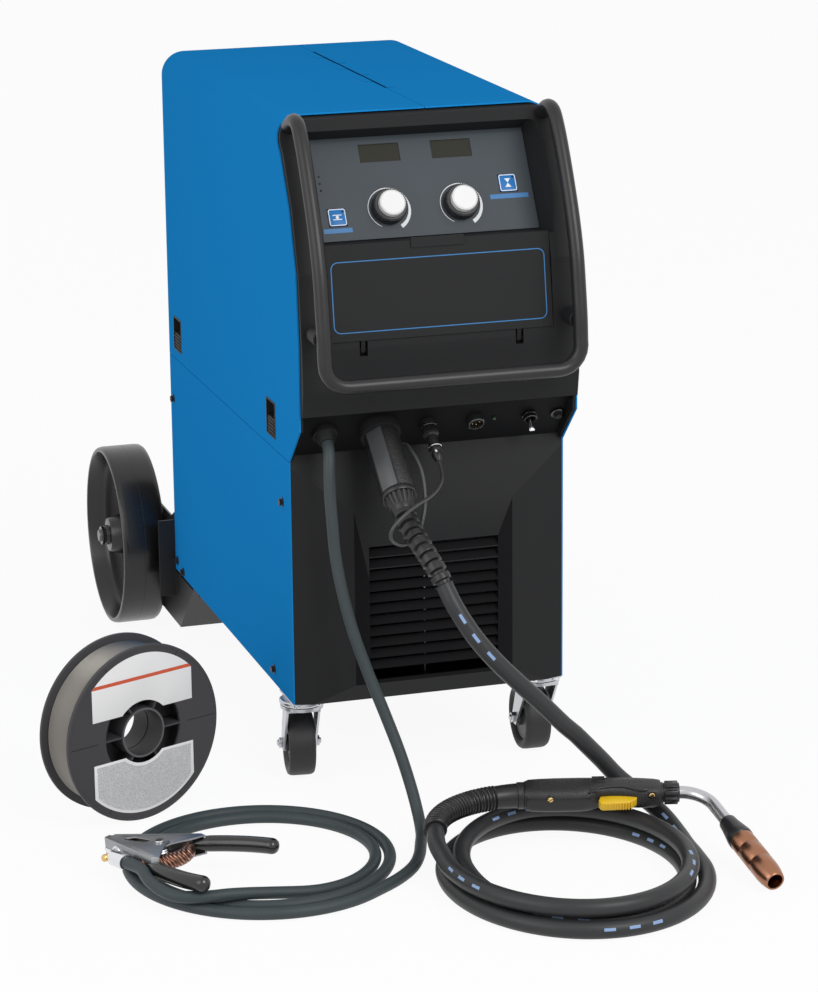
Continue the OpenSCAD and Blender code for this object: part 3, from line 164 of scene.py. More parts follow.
def mesh_object(name, bm, sharp=32):
    """Turns a bmesh into an object at the origin, with smooth shading between soft edges."""
    mesh = bpy.data.meshes.new(name)
    bm.to_mesh(mesh)
    bm.free()
    for polygon in mesh.polygons:
        polygon.use_smooth = True
    mesh.set_sharp_from_angle(angle=math.radians(sharp))
    return link(bpy.data.objects.new(name, mesh))


def new_material(name):
    material = bpy.data.materials.new(name)
    material.use_nodes = True
    return material, material.node_tree, material.node_tree.nodes["Principled BSDF"]


def floor_material():
    """A pale floor that reads white to the camera and in reflections, yet keeps the shadow."""
    material, tree, shader = new_material("pale floor")
    feed(shader, {"Base Color": (0.86, 0.86, 0.86, 1), "Roughness": 0.9, "Specular IOR Level": 0.1})
    share = add(tree, "MapRange", {"Value": seen_directly(tree), "To Max": WHITE_SHARE})["Result"]
    glow = add(tree, "Emission", {"Strength": 1.0})["Emission"]
    mix = add(tree, "MixShader", {"Fac": share, 1: shader.outputs["BSDF"], 2: glow})["Shader"]
    feed(tree.nodes["Material Output"], {"Surface": mix})
    return material


bm = bmesh.new()
bmesh.ops.create_grid(bm, x_segments=1, y_segments=1, size=12)
floor = mesh_object("floor", bm)
floor.data.materials.append(floor_material())

world = bpy.data.worlds.new("studio")
bpy.context.scene.world = world
world.use_nodes = True
level = add(world.node_tree, "MapRange", {
    "Value": seen_directly(world.node_tree), "To Min": SKY_LIGHT, "To Max": 1.0})["Result"]
sky = world.node_tree.nodes["Background"]
feed(sky, {"Color": (1, 1, 1, 1), "Strength": SKY_LIGHT})
feed(sky, {"Strength": level})
middle = spot(0, 100, 400)
for name, at, size, power in (("key lamp", spot(900, -2600, 2300), 1.6, 48),
                              ("fill lamp", spot(-2600, -1200, 1700), 2.2, 26)):
    data = bpy.data.lights.new(name, "AREA")
    data.shape = "SQUARE"
    data.size = size
    data.energy = power
    lamp = link(bpy.data.objects.new(name, data))
    lamp.location = at
    lamp.rotation_euler = (middle - at).to_track_quat("-Z", "Y").to_euler()

# %% [markdown]
# ## Shared surface effects
# Two node groups serve most finishes. One gives the fine grain of a moulded or powder-coated
# surface as a height. The other varies a colour and a roughness a little, as handling and dust do.

# %% Node groups
DUST_COLOR = (0.42, 0.41, 0.39, 1)
ROUGHNESS_DRIFT = 0.12


def group_tree(name, inputs, outputs):
    """A node group with inputs (label to value) and outputs (label to kind)."""
    tree = bpy.data.node_groups.new(name, "ShaderNodeTree")
    for label, value in inputs.items():
        kind = "NodeSocketColor" if isinstance(value, tuple) else "NodeSocketFloat"
        socket = tree.interface.new_socket(name=label, in_out="INPUT", socket_type=kind)
        socket.default_value = value
    for label, kind in outputs.items():
        tree.interface.new_socket(name=label, in_out="OUTPUT", socket_type="NodeSocket" + kind)
    return tree, tree.nodes.new("NodeGroupInput").outputs, tree.nodes.new("NodeGroupOutput")


def make_grain_group():
    """Two sizes of noise, mixed, as the height of a textured surface."""
    tree, given, out = group_tree("surface grain", {"Scale": 900.0, "Coarse Share": 0.3},
                                  {"Height": "Float"})
    place = add(tree, "TexCoord")["Object"]
    fine = add(tree, "TexNoise", {"Vector": place, "Scale": given["Scale"], "Detail": 2})["Fac"]
    third = combine(tree, "MULTIPLY", given["Scale"], 0.3)
    coarse = add(tree, "TexNoise", {"Vector": place, "Scale": third, "Detail": 1})["Fac"]
    feed(out, {"Height": add(tree, "Mix", {"Factor": given["Coarse Share"], "A": fine,
                                           "B": coarse})["Result"]})
    return tree


def make_handling_group():
    """A colour and a roughness that drift a little over the surface."""
    tree, given, out = group_tree(
        "handling and dust",
        {"Color": (0.5, 0.5, 0.5, 1), "Roughness": 0.5, "Dust": 0.05, "Scale": 14.0},
        {"Color": "Color", "Roughness": "Float"})
    cloud = add(tree, "TexNoise", {
        "Vector": add(tree, "TexCoord")["Object"], "Scale": given["Scale"], "Detail": 5,
        "Roughness": 0.6})["Fac"]
    share = combine(tree, "MULTIPLY", cloud, given["Dust"])
    color = add(tree, "Mix", {"Factor": share, "A": given["Color"], "B": DUST_COLOR},
                data_type="RGBA")["Result"]
    rough = add(tree, "Math", {0: cloud, 1: ROUGHNESS_DRIFT, 2: given["Roughness"]},
                operation="MULTIPLY_ADD")[0]
    feed(out, {"Color": color, "Roughness": rough})
    return tree


GRAIN = make_grain_group()
HANDLING = make_handling_group()
FINISHES = {}


def finish(label, color, roughness, metallic=0.0, dust=0.04, grain=900, coarse=0.3, bump=0.05,
           depth=0.2, gloss=0.5):
    """Files a material with the shared grain and handling effects under its label."""
    material, tree, shader = new_material(label.replace("_", " "))
    handled = add(tree, "Group", {"Color": (*color, 1), "Dust": dust,
                                  "Roughness": roughness - ROUGHNESS_DRIFT / 2},
                  node_tree=HANDLING)
    height = add(tree, "Group", {"Scale": grain, "Coarse Share": coarse}, node_tree=GRAIN)["Height"]
    normal = add(tree, "Bump", {"Strength": bump, "Distance": depth * MM, "Height": height})
    feed(shader, {"Metallic": metallic, "Specular IOR Level": gloss,
                  "Base Color": handled["Color"], "Roughness": handled["Roughness"],
                  "Normal": normal["Normal"]})
    FINISHES[label] = material
    return tree, shader


def mix_color(tree, shader, mask, low=None, high=None):
    """Blends a material's colour with another one. The one left out is its own."""
    own = shader.inputs["Base Color"].links[0].from_socket
    blend = add(tree, "Mix", {"Factor": mask, "A": low or own, "B": high or own}, data_type="RGBA")
    feed(shader, {"Base Color": blend["Result"]})


# %% Paints, plastics and prints
finish("blue_paint", (0.010, 0.215, 0.55), 0.42, dust=0.004, grain=700, bump=0.2, gloss=0.0)
finish("black_paint", (0.012, 0.012, 0.013), 0.42, dust=0.01, grain=800, bump=0.3, gloss=0.3)
finish("handle_paint", (0.013, 0.013, 0.0145), 0.36, dust=0.01, bump=0.2, gloss=0.4)
finish("black_moulding", (0.0125, 0.013, 0.014), 0.55, dust=0.01, grain=1300, bump=0.6, gloss=0.17)
# Near-black: dark printed dots, and painted shade in louvre gaps, screw slots and spool grooves.
finish("dark_print_and_painted_shade", (0.006, 0.006, 0.007), 0.7, dust=0, bump=0, gloss=0.1)
# Darker than the moulding: painted shade for the downward socket wall under the bezel.
finish("painted_wall_shade", (0.005, 0.0052, 0.006), 0.6, dust=0, grain=1300, bump=0.3, gloss=0.12)
# Paler than the moulding: a painted highlight along each louvre lip.
finish("louvre_lip", (0.11, 0.108, 0.104), 0.5, dust=0.01, grain=1300, bump=0.3, gloss=0.3)
finish("seam_shadow", (0.002, 0.03, 0.08), 0.6, dust=0, bump=0, gloss=0)
finish("panel_face", (0.037, 0.048, 0.060), 0.4, dust=0.01, grain=2000, bump=0.15, gloss=0.3)
finish("lcd", (0.016, 0.0155, 0.008), 0.12, dust=0.0, bump=0, gloss=0.35)
finish("knob_white", (0.78, 0.78, 0.78), 0.35, dust=0.01)
finish("knob_black", (0.018, 0.018, 0.02), 0.42, bump=0.1)
finish("button_blue", (0.012, 0.17, 0.48), 0.4, dust=0.01, bump=0.1, gloss=0.3)
finish("print_white", (0.8, 0.82, 0.84), 0.4, dust=0.01, bump=0.02)
finish("print_blue", (0.02, 0.17, 0.42), 0.4, dust=0.02, bump=0.02)
finish("gun_black", (0.013, 0.013, 0.0145), 0.34, dust=0.01, grain=1500, bump=0.2, gloss=0.4)
# Paler than the gun's black: a painted highlight for the gun connector's flat.
finish("painted_flat_highlight", (0.055, 0.057, 0.06), 0.3, dust=0.03, bump=0.15)
finish("grip_texture", (0.012, 0.012, 0.013), 0.42, dust=0.02, grain=620, coarse=0.1, bump=1.0,
       depth=0.8, gloss=0.45)
finish("knurl", (0.012, 0.012, 0.013), 0.4, dust=0.02, grain=520, coarse=0.1, bump=1.0, depth=0.9)
finish("trigger_yellow", (0.80, 0.50, 0.012), 0.3, dust=0.01)
finish("cable_grey", (0.028, 0.041, 0.046), 0.5, dust=0.07, grain=500, bump=0.4, gloss=0.3)
finish("lead_grey", (0.035, 0.036, 0.038), 0.4, dust=0.03, bump=0.1)
finish("dipped_sleeve", (0.007, 0.007, 0.0075), 0.2, dust=0.005, gloss=0.6)
finish("caster_rubber", (0.022, 0.022, 0.024), 0.5, dust=0.02, grain=500, bump=0.3, gloss=0.35)
finish("caster_core", (0.05, 0.05, 0.053), 0.45, dust=0.03, grain=600, bump=0.2)
finish("wheel_rubber", (0.006, 0.006, 0.0065), 0.27, dust=0.003, grain=300, bump=0.12)
finish("spool_black", (0.045, 0.043, 0.047), 0.5, dust=0.02, bump=0.4, gloss=0.3)
finish("spool_ring", (0.09, 0.09, 0.093), 0.4, dust=0.05, bump=0.2)
finish("label_white", (0.82, 0.82, 0.82), 0.45, dust=0.01)
finish("label_stripe", (0.62, 0.09, 0.03), 0.45, dust=0.01)
finish("lens_green", (0.02, 0.06, 0.03), 0.15, dust=0.0, bump=0)
finish("board", (0.015, 0.09, 0.04), 0.4, bump=0.2)

# %% Metals
for label, color, roughness, rest in (
        ("zinc_plate", (0.56, 0.57, 0.60), 0.3, dict(dust=0.1, grain=260, coarse=0.7, bump=0.2)),
        ("clamp_zinc", (0.34, 0.35, 0.365), 0.36,
         dict(dust=0.25, grain=110, coarse=0.8, bump=0.25)),
        ("bright_metal", (0.78, 0.78, 0.80), 0.16, dict(dust=0.02)),
        ("dark_metal", (0.10, 0.10, 0.105), 0.26, dict(dust=0.02)),
        ("neck_steel", (0.52, 0.52, 0.54), 0.24, dict(dust=0.05, grain=350, bump=0.12)),
        ("steel", (0.42, 0.42, 0.43), 0.34, dict(grain=500, bump=0.15)),
        ("aluminium_sheet", (0.62, 0.63, 0.64), 0.4, dict(bump=0.1)),
        ("copper", (0.72, 0.33, 0.20), 0.24, dict(dust=0.02, grain=400, bump=0.1)),
        ("nozzle_copper", (0.36, 0.165, 0.095), 0.3, dict(dust=0.03, grain=400, bump=0.12)),
        ("brass", (0.72, 0.50, 0.20), 0.24, dict(dust=0.02, bump=0.1))):
    finish(label, color, roughness, metallic=1, **rest)
finish("wire_grey", (0.22, 0.208, 0.19), 0.36, metallic=0.85, dust=0.02, bump=0.1)
finish("iron", (0.14, 0.14, 0.15), 0.55, metallic=0.6, bump=0.3)


# %% [markdown]
# ## Print on the gun cable
# A pale print runs along the jacket in threes of short dashes. The two attributes of the sweep
# say where they go: the distance along the cable, and how far a point faces the print's side.

# %% Jacket with dashes
DASH_FACING = 0.983


def dash_group():
    tree, given, out = group_tree("print dashes", {"Period": 0.4, "Pitch": 0.034, "Share": 0.45},
                                  {"Mask": "Float"})
    distance, side = (add(tree, "Attribute", attribute_name=name)["Fac"]
                      for name in ("along", "print_side"))
    place = combine(tree, "MODULO", distance, given["Period"])
    in_group = combine(tree, "LESS_THAN", place, combine(tree, "MULTIPLY", given["Pitch"], 3.0))
    within = combine(tree, "MODULO", place, given["Pitch"])
    on_dash = combine(tree, "LESS_THAN", within,
                      combine(tree, "MULTIPLY", given["Pitch"], given["Share"]))
    facing = combine(tree, "GREATER_THAN", side, DASH_FACING)
    both = combine(tree, "MULTIPLY", in_group, on_dash)
    feed(out, {"Mask": combine(tree, "MULTIPLY", both, facing)})
    return tree


tree, shader = finish("cable_black", (0.020, 0.021, 0.023), 0.42, dust=0.03, grain=600, bump=0.3,
                      gloss=0.35)
dashes = add(tree, "Group", {"Period": 0.31, "Pitch": 0.0245, "Share": 0.45},
             node_tree=dash_group())["Mask"]
mix_color(tree, shader, dashes, high=(0.25, 0.37, 0.60, 1))

# %% [markdown]
# ## Braid and speckles
# The clamp's braid is two crossed sets of bands, as relief and shade. The spool's lower label is
# a pale field full of fine grey marks, too small to read.

# %% Braid
tree, shader = finish("braid", (0.80, 0.47, 0.36), 0.34, metallic=1, bump=0)
place = add(tree, "TexCoord")["Object"]
weave = []
for turn in (35, -35):
    lean = [math.radians(angle) for angle in (turn, 20, turn)]
    vector = add(tree, "Mapping", {"Rotation": lean, "Vector": place})["Vector"]
    weave.append(add(tree, "TexWave", {"Scale": 95, "Vector": vector})["Fac"])
height = combine(tree, "MULTIPLY", *weave)
feed(shader, {"Normal": add(tree, "Bump", {"Strength": 1.0, "Distance": 1.2 * MM,
                                           "Height": height})["Normal"]})
mix_color(tree, shader, height, low=(0.12, 0.045, 0.025, 1))

# %% Speckled label
tree, shader = finish("label_grey", (0.8, 0.8, 0.8), 0.5, dust=0, bump=0.03)
specks = add(tree, "TexNoise", {"Vector": add(tree, "TexCoord")["Object"], "Scale": 1700,
                                "Detail": 1})["Fac"]
ramp = add(tree, "ValToRGB", {"Fac": specks})["Color"]
for stop, place, grey in zip(ramp.node.color_ramp.elements, (0.42, 0.56), (0.36, 0.72)):
    stop.position = place
    stop.color = (grey, grey, grey + 0.01, 1)
feed(shader, {"Base Color": ramp})

# %% Finishes on the solids
for node, obj in nodes.items():
    obj.data.materials.clear()
    obj.data.materials.append(FINISHES[slot_of[node]])
print("finishes:", len(FINISHES))

# %% [markdown]
# ## Softened edges
# Real sheet and mouldings have no razor edges. A copy of a node's solid is merged, its flat
# triangles are joined, and a live bevel rounds what is left, so each edge catches some light.

# %% Eased copies
FLAT_ANGLE = math.radians(0.6)
BEVEL_ANGLE = math.radians(35)
SEAM_LIFT = 0.1 * MM
EASED = {"right_wrapper": 0.5, "loading_door": 0.5, "lower_left_panel": 0.5, "lower_front": 0.8,
         "front_bezel": 0.9, "front_flap": 0.7, "running_gear": 0.8, "sockets": 0.4, "screws": 0.3,
         "cylinder_bracket": 0.6, "rear_fittings": 0.4, "caster_fork_left": 0.5,
         "caster_fork_right": 0.5, "latch_front": 0.4, "latch_rear": 0.4}


def attach(piece, body):
    """Lets a piece ride with a body."""
    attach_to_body(piece, body)
    return piece


def dress(piece, node):
    """Lets a piece ride with a node's body, take its finish, and stand for the node."""
    if not piece.data.materials:
        piece.data.materials.append(FINISHES[slot_of[node]])
    attach(piece, body_of[node])
    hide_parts(node)
    return piece


def press_hinge(bm):
    """Presses the top hinge's knuckles and leaves down to a thin seam."""
    seam = spot(SEAM_X, 0, CABINET_TOP)
    for vert in bm.verts:
        rise = vert.co.z - seam.z
        if rise > SEAM_LIFT:
            vert.co.z = seam.z + SEAM_LIFT + 0.1 * rise
            if abs(vert.co.x - seam.x) < 3 * MM:
                vert.co.x = seam.x + 0.45 * (vert.co.x - seam.x)


def eased(node, width):
    bm = bmesh.new()
    bm.from_mesh(nodes[node].data)
    bmesh.ops.remove_doubles(bm, verts=bm.verts, dist=2e-6)
    bmesh.ops.dissolve_limit(bm, angle_limit=FLAT_ANGLE, verts=bm.verts, edges=bm.edges)
    if node in ("loading_door", "right_wrapper"):
        press_hinge(bm)
    piece = mesh_object(node + ".eased", bm, 12)
    bevel = piece.modifiers.new("soft edges", "BEVEL")
    bevel.width = width * MM
    bevel.segments = 2
    bevel.limit_method = "ANGLE"
    bevel.angle_limit = BEVEL_ANGLE
    bevel.harden_normals = True
    return dress(piece, node)


solids = {node: eased(node, width) for node, width in EASED.items()}


# %% Shaded faces
def repaint(node, paint, chosen):
    """Gives faces of an eased copy another finish, by their middle (mm), normal and area (mm2)."""
    mesh = solids[node].data
    mesh.materials.append(FINISHES[paint])
    origin = spot(0, 0, 0)
    for face in mesh.polygons:
        if chosen((face.center - origin) / MM, face.normal, face.area / MM ** 2):
            face.material_index = len(mesh.materials) - 1


def by_louvres(at):
    """Tells whether a point is in the field of air slots."""
    return abs(at.x) < 77 and 128 < at.z < 289


# Painted light in the louvres: their gaps get a near-black painted shade, their front lips a paler
# painted highlight.
repaint("lower_front", "dark_print_and_painted_shade",
        lambda at, out, area: by_louvres(at) and at.y < 60 and area < 5000)
repaint("lower_front", "louvre_lip",
        lambda at, out, area: by_louvres(at) and out.y <= -0.9 and area < 400)
# The downward socket wall under the bezel gets a darker painted shade.
repaint("lower_front", "painted_wall_shade",
        lambda at, out, area: out.y < -0.5 and out.z < -0.45 and 360 < at.z < 460)
for node in ("loading_door", "right_wrapper"):
    repaint(node, "seam_shadow",
            lambda at, out, area: at.z > CABINET_TOP + 0.12 and abs(at.x - SEAM_X) < 1.6)

# %% [markdown]
# ## Cables
# A cable is a tube of even thickness along a smooth curve. The route repeats the solid's, so it
# lies where the solid lies. A round profile is carried from point to point without twisting. Two
# attributes, the distance along and how far a point faces one side, let a print follow it.

# %% Tubes along a route
PRINT_SIDE = Vector((-0.28, -0.90, 0.33))
PRINT_START = 0.275


def smooth_route(points, step):
    """Points of a Catmull-Rom curve through the given ones, about one step apart."""
    points = [Vector(point) for point in points]
    ends = [2 * points[0] - points[1], *points, 2 * points[-1] - points[-2]]
    route = []
    for a, b, c, d in zip(ends, ends[1:], ends[2:], ends[3:]):
        count = max(1, round((c - b).length / step))
        for k in range(count):
            t = k / count
            route.append(0.5 * (2 * b + (c - a) * t + (2 * a - 5 * b + 4 * c - d) * t * t
                                + (3 * b - a - 3 * c + d) * t ** 3))
    return [*route, points[-1]]


def route_length(route):
    return sum((b - a).length for a, b in zip(route, route[1:]))


def loop_of(ring):
    """The edges between the vertices of a ring."""
    members = set(ring)
    return list(dict.fromkeys(edge for vert in ring for edge in vert.link_edges
                              if edge.other_vert(vert) in members))


def swept(route, radius, sides=16):
    """Bridges circles along a route. The radius is a number or a function of the distance."""
    bm = bmesh.new()
    along = bm.verts.layers.float.new("along")
    print_side = bm.verts.layers.float.new("print_side")
    thick = radius if callable(radius) else lambda distance: radius
    tangent = (route[1] - route[0]).normalized()
    across = tangent.cross(Vector((0, 0, 1)))
    across = (across if across.length > 0.1 else tangent.cross(Vector((1, 0, 0)))).normalized()
    distance = 0.0
    last = None
    for i, point in enumerate(route):
        before, after = route[max(i - 1, 0)], route[min(i + 1, len(route) - 1)]
        distance += (point - before).length
        tangent = (after - before).normalized()
        across = (across - across.dot(tangent) * tangent).normalized()
        toward = (PRINT_SIDE - PRINT_SIDE.dot(tangent) * tangent).normalized()
        place = Matrix((across, tangent.cross(across), tangent)).transposed().to_4x4()
        place.translation = point
        ends = i in (0, len(route) - 1)
        ring = bmesh.ops.create_circle(bm, cap_ends=ends, segments=sides, radius=thick(distance),
                                       matrix=place)["verts"]
        for vert in ring:
            vert[along] = distance + PRINT_START
            vert[print_side] = (vert.co - point).normalized().dot(toward)
        edges = loop_of(ring)
        if last:
            bmesh.ops.bridge_loops(bm, edges=last + edges)
        last = edges
    bmesh.ops.recalc_face_normals(bm, faces=bm.faces)
    return bm


def tube(name, route, radius, sides):
    return mesh_object(name, swept(route, radius, sides))


# %% Routes, as in the model's source
GUN_CABLE = 19
WORK_CABLE = 13
LEAD = 4

GUN_ROUTE = [(-42, -188, 288), (-35, -200, 268), (-21, -210, 242), (-7, -216, 222),
             (9, -220, 203), (31, -223, 180), (56, -225, 155), (79.5, -226, 130),
             (92.5, -225, 118), (104.5, -224, 105), (116.5, -222, 92), (126.5, -220, 81),
             (143, -221, 62), (165, -232, 42), (183, -254, 25), (189, -282, 14), (188, -312, 10)]
WORK_ROUTE = [(-124, -31, 411.1), (-125, -41.5, 402.5), (-127, -48, 385), (-127, -50, 355),
              (-125, -50, 325), (-122, -49, 290), (-117, -57, 250), (-110, -70, 210),
              (-98, -86, 165), (-84, -104, 120), (-73, -123, 80), (-66, -140, 45),
              (-64, -158, 20), (-68, -182, 8), (-77, -208, 6.6), (-88, -238, 6.6),
              (-104, -268, 6.6), (-127, -294, 6.6)]
LEAD_ROUTE = [(-6, -61, 387.7), (-6, -64.2, 385.2), (-7, -73, 379.5), (-11, -85, 373),
              (-21, -99, 367), (-36, -116, 364), (-53, -133, 363), (-70, -144, 357),
              (-82, -149, 349), (-88, -149, 340), (-87, -144, 331), (-80, -135, 323),
              (-69, -126, 317), (-57, -119, 318), (-47, -115, 327), (-41, -111, 340),
              (-36, -104, 355), (-34, -95, 372), (-34, -85, 387), (-36, -75, 397),
              (-38, -65, 403), (-38.5, -57, 405.5), (-38.8, -50, 406.5), (-40.4, -45.5, 406.5),
              (-43.4, -43, 406)]
GUN_TAIL = [(-86, -318, 33), (-86, -294, 39), (-80, -270, 45)]
WORK_TAIL = [(-272, -310, 15), (-294, -312, 18), (-316, -313, 20), (-338, -313, 20.6),
             (-366, -306, 21.5), (-381, -289, 24), (-389, -265, 27.2), (-391, -240, 29.8),
             (-400, -211.7, 27.7)]
COIL_STEPS = 24


def gun_coil():
    """Spirals in on the floor, climbs once, and spirals out on top."""
    points = []
    for k in range(61):
        turn = k / COIL_STEPS
        inward = 20.5 * (turn if turn < 1.5 else 3.0 - turn)
        height = 9.6 + 19.8 * min(1, max(0, 2 * (turn - 1.5) + 0.5))
        angle = 2 * math.pi * turn
        points.append((45 + (141 - inward) * math.cos(angle),
                       -342 - (164 - inward) * math.sin(angle), height))
    return points


def work_coil():
    """A flat spiral on the floor, its turns closer at the back."""
    points = []
    for k in range(51):
        turn = k / COIL_STEPS
        angle = math.radians(-50 - 360 * turn)
        points.append((-249 + (149 - 15.2 * turn) * math.cos(angle),
                       -195 + (156 - 20 * turn) * math.sin(angle),
                       6.6 + 5.4 * max(0, (turn - 2.11) * 8 + 1) ** 2))
    return points


# %% Cables along their routes
def cable(name, points, diameter, paint, step=0.008):
    route = smooth_route([spot(*p) for p in points], step)
    piece = tube(name, route, diameter / 2 * MM, 36)
    piece.data.materials.append(FINISHES[paint])
    attach(piece, "cabinet")
    print(name, "is", round(route_length(route), 3), "m long")
    return piece, route


gun_cable, gun_path = cable("gun_cable", [*GUN_ROUTE, *gun_coil(), *GUN_TAIL], GUN_CABLE,
                            "cable_black")
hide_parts("gun_cable_run", "gun_cable_coil")
work_cable, work_path = cable("work_cable", [*WORK_ROUTE, *work_coil(), *WORK_TAIL], WORK_CABLE,
                              "cable_grey")
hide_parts("work_cable_run", "work_cable_coil")
trigger_lead, lead_path = cable("gun_lead", LEAD_ROUTE[::-1], LEAD, "lead_grey",
                                0.004)
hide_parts("trigger_lead")

# %% [markdown]
# ## A workshop of small makers
# Each piece below is built in millimetres about its own axis, then carried to its place. A turned
# part is a profile spun round, a flat part is an outline extruded and bevelled. One function pours
# such parts into a mesh, so that a piece may hold several of them with different finishes.

# %% Makers
def local(*turns, at=(0, 0, 0)):
    """The matrix from a piece's own millimetres to the shared frame."""
    place = Matrix.Translation(spot(*at))
    for turn in turns:
        place = place @ turn
    return place @ Matrix.Scale(MM, 4)


def shift(x, y, z):
    return Matrix.Translation(Vector((x, y, z)))


def facing(direction):
    """The turn that carries Z to a direction."""
    return Vector((0, 0, 1)).rotation_difference(direction).to_matrix().to_4x4()


def polar(radius, angle):
    return (radius * math.cos(angle), radius * math.sin(angle))


def arc(radius, start, end, steps):
    """Points on a circle between two angles in degrees."""
    return [polar(radius, math.radians(start + (end - start) * k / steps))
            for k in range(steps + 1)]


def lathe(profile, segments=48):
    """Spins (radius, height) points about Z."""
    bm = bmesh.new()
    line = [bm.verts.new((radius, 0, height)) for radius, height in profile]
    edges = [bm.edges.new(pair) for pair in zip(line, line[1:])]
    bmesh.ops.spin(bm, geom=line + edges, cent=(0, 0, 0), axis=(0, 0, 1),
                   angle=2 * math.pi, steps=segments, use_merge=True)
    bmesh.ops.remove_doubles(bm, verts=bm.verts, dist=1e-4)
    bmesh.ops.recalc_face_normals(bm, faces=bm.faces)
    return bm


def full(segments, *profile):
    """A turned part whose profile starts and ends on the axis."""
    return lathe([(0, profile[0][1]), *profile, (0, profile[-1][1])], segments)


def hollow(segments, *profile):
    """A turned part whose profile closes on itself."""
    return lathe([*profile, profile[0]], segments)


def disc(radius, bottom, top):
    return full(24, (radius, bottom), (radius, top))


def pipe(segments, inner, outer, bottom, top):
    return hollow(segments, (inner, bottom), (outer, bottom), (outer, top), (inner, top))


def both_ways(*half):
    """A profile's lower half and its mirror image above."""
    return [*half, *((radius, -height) for radius, height in reversed(half))]


def round_corners(low, high, radius, steps=6):
    """The outline of a rectangle with round corners."""
    left, right = low[0] + radius, high[0] - radius
    front, back = low[1] + radius, high[1] - radius
    return [(x + dx, y + dy) for x, y, start in ((right, back, 0), (left, back, 90),
                                                 (left, front, 180), (right, front, 270))
            for dx, dy in arc(radius, start, start + 90, steps)]


def drawn_out(bm, faces, depth):
    """Extrudes faces along Z."""
    grown = bmesh.ops.extrude_face_region(bm, geom=faces)
    verts = [v for v in grown["geom"] if isinstance(v, bmesh.types.BMVert)]
    bmesh.ops.translate(bm, verts=verts, vec=(0, 0, depth))
    bmesh.ops.recalc_face_normals(bm, faces=bm.faces)
    return bm


def plate(outline, bottom, top, edge=0.0, segments=2):
    """Extrudes an outline upwards and softens its edges."""
    bm = bmesh.new()
    face = bm.faces.new([bm.verts.new((x, y, bottom)) for x, y in outline])
    bmesh.ops.recalc_face_normals(bm, faces=[face])
    drawn_out(bm, [face], top - bottom)
    if edge:
        rims = [e for e in bm.edges if len(e.link_faces) == 2 and e.calc_face_angle() > 0.6]
        bmesh.ops.bevel(bm, geom=rims, offset=edge, segments=segments, profile=0.5,
                        affect="EDGES", material=-1)
    return bm


def block(low, high, edge=0.0):
    outline = [(low[0], low[1]), (high[0], low[1]), (high[0], high[1]), (low[0], high[1])]
    return plate(outline, low[2], high[2], edge)


def hex_nut(radius, bottom, top):
    return plate(arc(radius, 0, 300, 5), bottom, top, 0.4)


def scaled_above(bm, height, x, y):
    """Scales what lies above a height, across the axis."""
    bmesh.ops.scale(bm, vec=(x, y, 1), verts=[v for v in bm.verts if v.co.z > height])
    return bm


def put(place, paint, *shapes):
    """Rows of (shape, matrix, number of its finish)."""
    return [(shape, place, paint) for shape in shapes]


def around(place, paint, count, make, start=0, out=0):
    """The same shape several times round an axis."""
    return [(make(), place @ turned("Z", start + 360 * k / count) @ shift(out, 0, 0), paint)
            for k in range(count)]


def assemble(name, finishes, *groups):
    """Pours groups of rows into one mesh object."""
    whole = bmesh.new()
    for shape, place, paint in (row for group in groups for row in group):
        for face in shape.faces:
            face.material_index = paint
        shape.transform(place)
        if place.determinant() < 0:
            bmesh.ops.reverse_faces(shape, faces=shape.faces)
        mesh = bpy.data.meshes.new("poured")
        shape.to_mesh(mesh)
        shape.free()
        whole.from_mesh(mesh)
        bpy.data.meshes.remove(mesh)
    piece = mesh_object(name, whole)
    for label in finishes:
        piece.data.materials.append(FINISHES[label])
    return piece


# %% Where things face
PANEL_TILT = math.radians(31)


def on_panel(x, v):
    return local(turned("X", 59), at=(x, 5.3 + v * math.sin(PANEL_TILT),
                                      657.5 + v * math.cos(PANEL_TILT)))


def on_wall(x):
    return local(turned("X", 90 + WALL_TILT), at=(x, CONNECTOR_Y, CONNECTOR_Z))


AT_GUN = local(turned("Z", GUN_HEADING), turned("X", -74), at=GUN_AT)
AT_CLAMP = local(turned("Z", 130), turned("Y", 4.5), at=(-361, -201, 29))
AT_SPOOL = local(turned("Z", 22.7), turned("X", 90), at=(-346, 4, 100))

# %% [markdown]
# ## Printed films
# The overlay film carries white arcs round the knobs, two framed buttons and a thin blue line on
# the flap. Each is a very thin plate that lies on its surface, so it keeps a clean outline.

# %% Overlay print
PANEL_FACE = 2.12
FILM = 0.12
THIN_FILM = 0.1


def band(inner, outer, start, end, steps=28):
    """The outline of a part of a ring. Both radii are functions of the share of the way."""
    def point(share, radius):
        return polar(radius, math.radians(start + (end - start) * share))
    far = [point(k / steps, outer(k / steps)) for k in range(steps + 1)]
    near = [point(k / steps, inner(k / steps)) for k in range(steps, -1, -1)]
    return far + near


def knob_scale(x):
    """A white arc that starts as a line at the lower left and swells to the lower right."""
    outline = band(lambda s: 22.6 - 0.2 * s, lambda s: 23.2 + 3.6 * s ** 3, 242, -62)
    return put(on_panel(x, 0), 0, plate(outline, PANEL_FACE, PANEL_FACE + FILM))


def frame_line(low, high, radius, width, top):
    """A thin rounded frame: an outer outline bridged to an inner one."""
    bm = bmesh.new()
    outlines = (round_corners(low, high, radius),
                round_corners((low[0] + width, low[1] + width),
                              (high[0] - width, high[1] - width), radius - width))
    rings = [[bm.verts.new((x, y, top)) for x, y in outline] for outline in outlines]
    edges = [bm.edges.new((ring[k - 1], ring[k])) for ring in rings for k in range(len(ring))]
    return drawn_out(bm, bmesh.ops.bridge_loops(bm, edges=edges)["faces"], -FILM)


def film_bar(half):
    return block((-half, -2.6, PANEL_FACE), (half, 2.6, PANEL_FACE + THIN_FILM))


